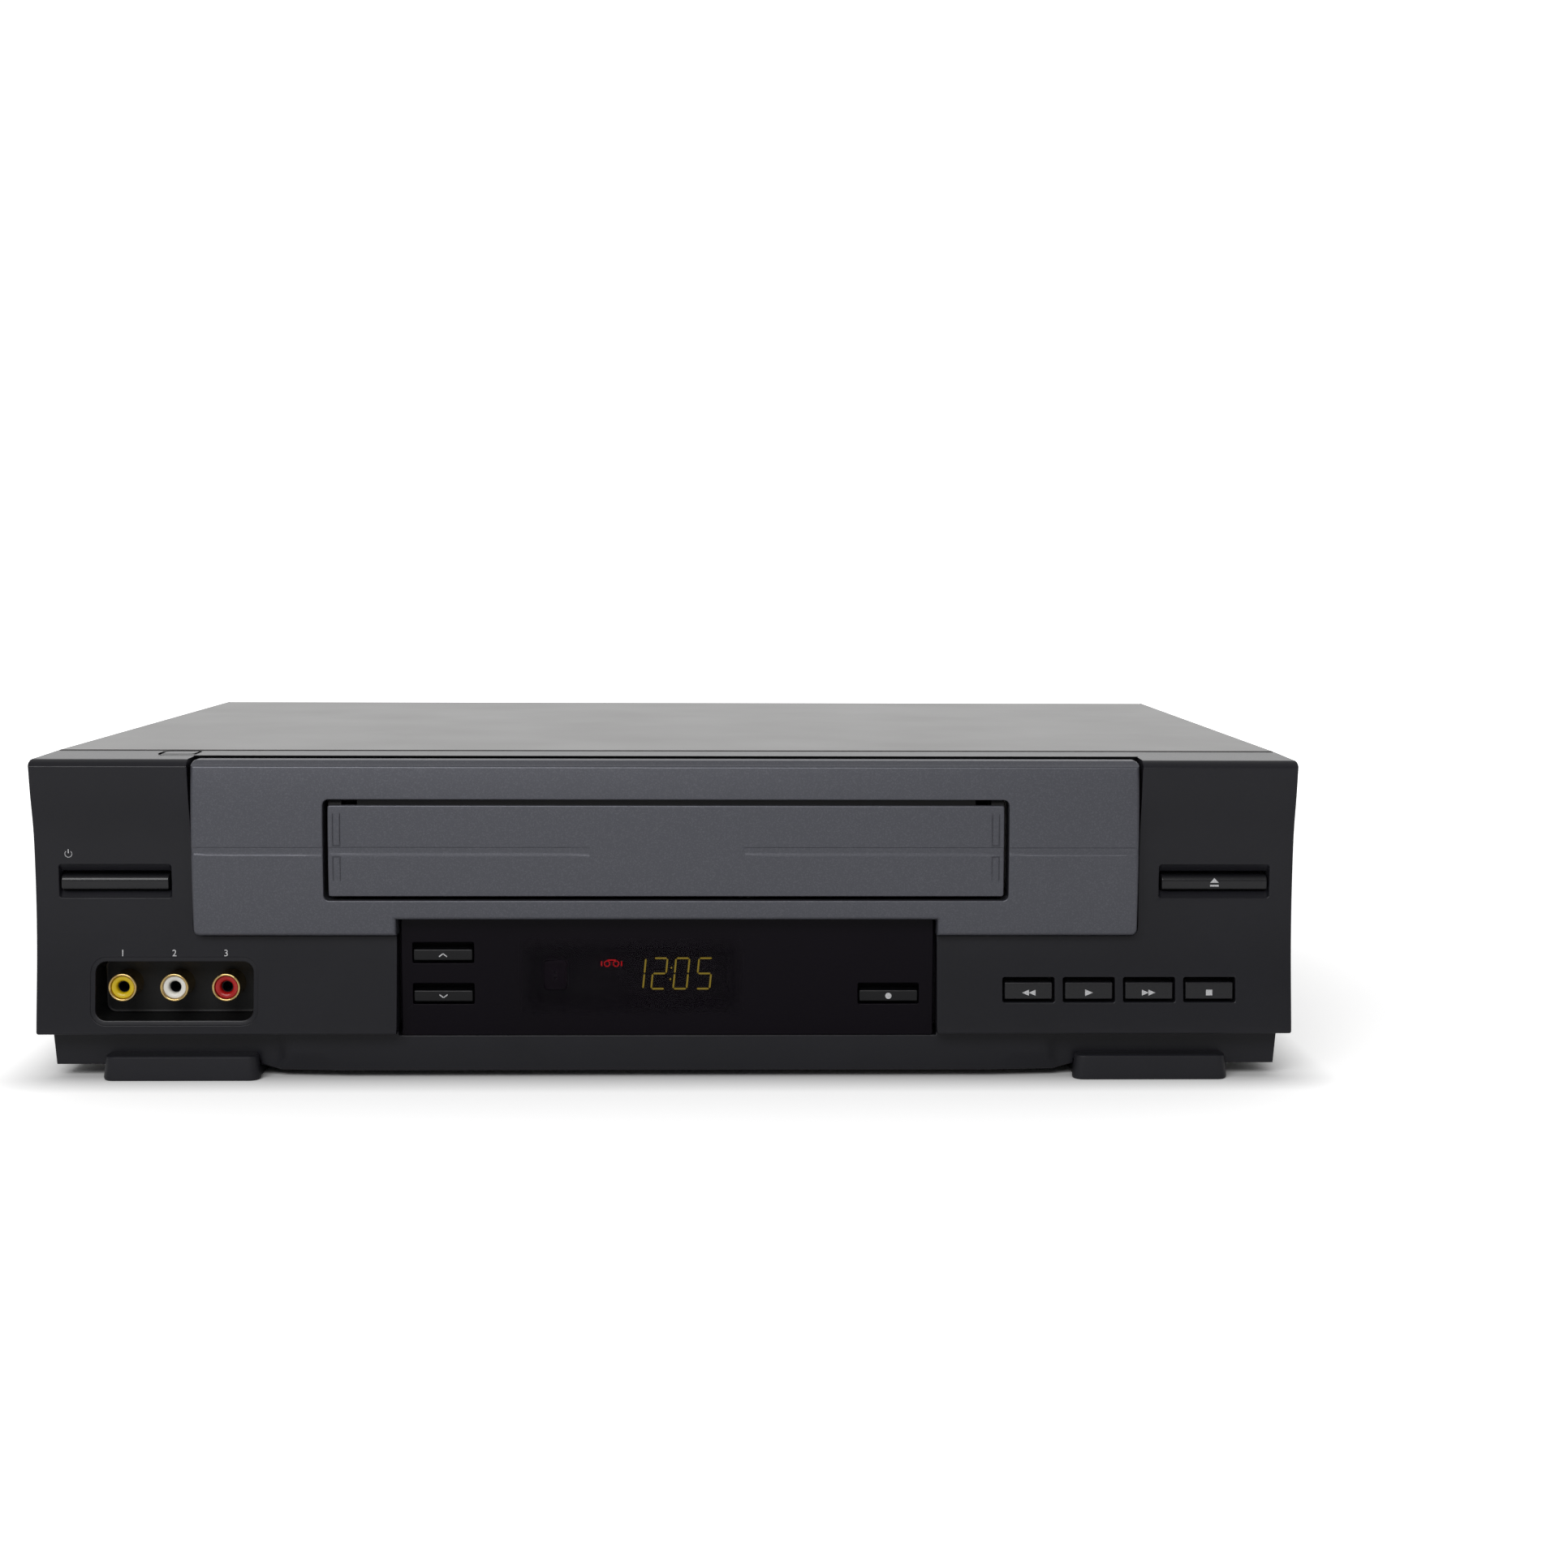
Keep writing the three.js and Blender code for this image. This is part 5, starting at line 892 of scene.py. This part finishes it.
zinc = bare_metal("zinc_plated_steel", "b9b8b2", "d2d2cf", 0.34, 0.0005, (1, 0.2, 1))
thread = [(4.72, 240.6), (4.72, 240.4)]
for start in np.arange(240.4, 246.5, 0.8):
    thread += [(4.95, start + 0.2), (4.95, start + 0.4), (4.74, start + 0.6), (4.74, start + 0.75)]
thread += [(4.6, 246.9), (4.5, 246.95), (4.5, 240.6), (4.72, 240.6)]
piece("aerial_threads", [turned(thread[::-1], -152, z) for z in (24, 44)], zinc, "plated_steel")
bush = [(3.4, 234.4), (3.8, 234), (7.6, 234), (8, 234.4), (8, 236), (7.7, 236.4), (6.3, 236.5), (6.3, 238.1),
        (7.6, 238.2), (8, 238.6), (7.9, 240), (7.4, 240.6), (4.2, 240.6), (3.5, 240.1), (3.4, 234.4)]


# The rubber is matt, with a dusty bloom in patches and a grain of 0.4 mm.
rubber = finish("moulded_rubber", ("141414", "1f1e1e"), (160, 3), (2500, 1), bump=(0.3, 5e-5), Roughness=0.75)
piece("cord_bush", [turned(bush[::-1], 150, 22)], rubber, "rubber", "power_cord_bush")
for side, x in foot_places.items():
    levels = [(9.2, 0), (9.7, 0.2), (10, 0.7), (10, 3.9), (9.6, 4.4), (9.0, 4.6), (3.2, 4.6), (3.2, 7.4)]
    piece("rear_foot_pad_" + side, [stacked([((x - r, x + r, 205 - r, 205 + r), r, z) for r, z in levels])], rubber,
          "rubber", "rear_foot_" + side)


# Screws: two of zinc plated steel, driven through the cover's lip into the rear panel. They are pan headed, with
# a cross recess of four sloping sides.
def cross_screw(x, z):
    """A pan head turned to face the back, its cross pressed in: the rim of each ring is drawn in towards the
    centre by the cosine of four times its angle, deeper rings by more."""
    rim = circle(48)
    head = ((0, 232), (1.5, 232), (1.5, 238.9), (3.2, 238.9), (3.2, 239.4), (3.0, 240.2), (2.4, 240.8), (1.9, 241))
    loops = [lift(radius * rim + [x, z], y) for radius, y in head]
    four_fold = np.cos(4 * np.arctan2(rim[:, 1], rim[:, 0]))
    cross = 0.35 + 1.35 * np.clip(four_fold * 1.6, 0, 1)
    loops += [lift(share * cross[:, None] * rim + [x, z], y)
              for share, y in ((1, 241), (0.85, 240.2), (0.5, 239.6), (0, 239.4))]
    return turned_over(rings(loops))


for side, x in (("left", -120), ("right", 120)):
    piece("cross_screw_" + side, [cross_screw(x, 89)], zinc, "plated_steel", "cover_screw_" + side, sharp=30)


# Head drum: two halves turned from aluminium on one axis that leans back. The lower one stands on the deck and
# has a step that guides the tape, the upper one spins and carries its motor's cap.
def on_drum_axis(profile, sides=96):
    """A turned shape, its profile as (radius, height) from the middle out and back to it, on the leaning axis;
    what would lie below the deck is cut off level with it."""
    lean = np.radians(5.5)
    loops = []
    for radius, height in profile:
        x, y = radius * circle(sides).T
        z = np.maximum(height, y * np.tan(lean))
        back, up = y * np.cos(lean) + z * np.sin(lean), z * np.cos(lean) - y * np.sin(lean)
        loops.append(np.stack([x, 198 + back, 28.3 + up], axis=1))
    return rings(loops)


turned_aluminium = bare_metal("turned_aluminium", "c4c6c8", "dcdee0", 0.25, 0.0004, (1, 1, 0.1))
lower_half = [(0, -31), (31, -31), (31, 5), (30.7, 5.2), (30.7, 13.7), (30.4, 14), (0, 14)]
upper_half = [(0, 14.4), (30.4, 14.4), (30.7, 14.7), (30.7, 26.9), (30.2, 27.4), (27.4, 27.4), (27.1, 26.7),
              (18, 26.7), (17.7, 27.3), (16, 27.3), (16, 34.9), (15.5, 35.4), (6.2, 35.4), (5.9, 34.8), (3.2, 34.8),
              (3, 35.1), (0, 35.1)]
piece("lower_drum_half", [on_drum_axis(lower_half)], turned_aluminium, "aluminium", "lower_drum", sharp=30)
piece("upper_drum_half", [on_drum_axis(upper_half)], turned_aluminium, "aluminium", "head_drum",
      body="upper_drum", sharp=30)


# Works and sheet metal that are seen only with the cover off: plated steel, cast and moulded wheels, laminated
# boards and painted sheet. Their shapes are right as they stand, and each gets its own finish.
def tinted(name, dark, light, rough, size, metallic=0):
    """A cast, moulded or laminated part: two close colours in patches of that size, with a faint relief."""
    return finish(name, (dark, light), (1 / size, 4), bump=(0.2, 4e-5), Roughness=rough, Metallic=metallic)


finishes = {
    powder_coat: ("rear_panel",),
    black_moulding: ("channel_selector_switch",),
    # The socket block behind the recess is in the same deeper black: painted shade.
    deep_black_and_shade: ("front_jack_block",),
    zinc: ("door_spring", "bottom_plate", "tuner_box", "deck_plate", "carriage_bracket_left",
           "carriage_bracket_right", "idler_arm", "supply_guide", "takeup_guide", "capstan", "pinch_arm",
           "tension_arm", "erase_head", "control_head"),
    # The carriage, seen through the gaps round the door, is coloured near black: painted shade.
    tinted("carriage_shade_black", "121214", "19191b", 0.5, 0.003, 0.2): ("cassette_carriage",),
    tinted("natural_acetal", "d3cfc2", "e2dfd5", 0.42, 0.004): (
        "supply_reel", "takeup_reel", "idler_gear", "loading_worm", "cam_gear"),
    rubber: ("pinch_roller",),
    tinted("phenolic_board", "6d6330", "8a7d42", 0.5, 0.002): ("front_board", "main_board"),
    # Blackened steel on the motors; on the carriage's slider this dark colour is painted shade in the door's gaps.
    tinted("blackened_motor_steel_and_slider_shade", "2f2e30", "3b3a3c", 0.4, 0.003, 0.8): (
        "capstan_motor", "loading_motor", "carriage_slider"),
    tinted("dark_display_glass", "101614", "17201d", 0.08, 0.01): ("display_tube",)}
for material, names in finishes.items():
    for name in names:
        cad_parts[name].material_slots[0].material = material


# Stage: a white floor that keeps the machine's shadow, with painted shade under and close round the machine, a soft
# white room with a darker wall behind the camera, one soft box overhead, and the photograph's camera.
def white_floor():
    """Matt white paper. Its own light, for the camera alone, is nil under the machine and grows with the distance
    from it, so that the paper shows white, and painted shade lies under and close round the machine over its real
    shadow."""
    material, tree, place, shader = surface_of("white_paper_floor")
    set_plain(shader, {"Base_Color": linear("f2f2f2"), "Roughness": 0.9, "Specular_IOR_Level": 0.1,
                       "Emission_Color": (1, 1, 1, 1)})
    from_machine = place
    for operation, settings in (("ABSOLUTE", {}), ("SUBTRACT", {1: (0.175, 0.115, 0)}), ("MAXIMUM", {1: (0, 0, 0)}),
                                ("LENGTH", {})):
        step = add(tree, "ShaderNodeVectorMath", {"operation": operation, **settings}, {0: from_machine})
        from_machine = (step, "Value" if operation == "LENGTH" else "Vector")
    # Within 20 mm of the machine's footprint the paper's own light fades to nothing: painted shade under and round it.
    painted_shade_fade, far = ((add(tree, "ShaderNodeMapRange", {"From Min": start, "From Max": end, "To Max": most},
                      {"Value": from_machine}), "Result") for start, end, most in ((0, 0.02, 0.5), (0.02, 0.7, 0.6)))
    both = add(tree, "ShaderNodeMath", {"operation": "ADD"}, {0: painted_shade_fade, 1: far})
    rays = add(tree, "ShaderNodeLightPath", {}, {})
    shown_light = add(tree, "ShaderNodeMath", {"operation": "MULTIPLY"},
                      {0: (rays, "Is Camera Ray"), 1: (both, "Value")})
    feed(tree, (shown_light, "Value"), shader, "Emission Strength")
    return material


floor_mesh = bpy.data.meshes.new("floor")
floor_mesh.from_pydata([(-8, -8, 0), (8, -8, 0), (8, 8, 0), (-8, 8, 0)], [], [(0, 1, 2, 3)])
floor_mesh.materials.append(white_floor())
floor = bpy.data.objects.new("floor", floor_mesh)
bpy.context.scene.collection.objects.link(floor)

world = bpy.data.worlds.new("soft_white_room")
world.use_nodes = True
# The room is white behind the machine and darker behind the camera, a little brighter where it is seen or mirrored.
room = world.node_tree
room.nodes.clear()
direction = add(room, "ShaderNodeTexCoord", {}, {})
axes = add(room, "ShaderNodeSeparateXYZ", {}, {"Vector": (direction, "Generated")})
open_side = add(room, "ShaderNodeMapRange", {"interpolation_type": "SMOOTHSTEP", "From Min": -0.2, "From Max": 0.7},
                {"Value": (axes, "Y")})
plain, shown = ((add(room, "ShaderNodeMapRange", {"To Min": least, "To Max": most}, {"Value": (open_side, "Result")}),
                 "Result") for least, most in ((0.22, 0.9), (0.26, 1.1)))
rays = add(room, "ShaderNodeLightPath", {}, {})
in_view = (rays, "Is Camera Ray")
for ray in ("Is Glossy Ray", "Is Transmission Ray"):
    in_view = (add(room, "ShaderNodeMath", {"operation": "MAXIMUM"}, {0: in_view, 1: (rays, ray)}), "Value")
strength = add(room, "ShaderNodeMix", {"data_type": "FLOAT"}, {0: in_view, 2: plain, 3: shown})
sky = add(room, "ShaderNodeBackground", {"Color": (1, 1, 1, 1)}, {"Strength": (strength, 0)})
add(room, "ShaderNodeOutputWorld", {}, {"Surface": (sky, "Background")})
bpy.context.scene.world = world

lamp_data = bpy.data.lights.new("soft_box", "AREA")
lamp_data.shape = "RECTANGLE"
lamp_data.size, lamp_data.size_y = 1.1, 0.55
lamp_data.energy = 11
lamp = bpy.data.objects.new("soft_box", lamp_data)
lamp.location = (-0.3, -1.25, 0.85)
lamp.rotation_euler = Vector((-0.3, -1.15, 0.8)).to_track_quat("Z", "Y").to_euler()
bpy.context.scene.collection.objects.link(lamp)

camera_data = bpy.data.cameras.new("camera")
camera_data.lens = 50.12
camera_data.sensor_width = 36
camera = bpy.data.objects.new("camera", camera_data)
yaw, pitch, roll = 0.02059, 0.10335, 0.00326
ahead = np.array([np.sin(yaw) * np.cos(pitch), np.cos(yaw) * np.cos(pitch), -np.sin(pitch)])
level = np.array([np.cos(yaw), -np.sin(yaw), 0])
upright = np.cross(level, ahead)
right = level * np.cos(roll) + upright * np.sin(roll)
up = upright * np.cos(roll) - level * np.sin(roll)
frame_matrix = np.eye(4)
frame_matrix[:3, :3] = np.stack([right, up, -ahead], axis=1)
frame_matrix[:3, 3] = 0.020524, -0.738672, 0.150103
camera.matrix_world = Matrix(frame_matrix.tolist())
bpy.context.scene.collection.objects.link(camera)
bpy.context.scene.camera = camera
bpy.context.scene.view_settings.view_transform = "Standard"
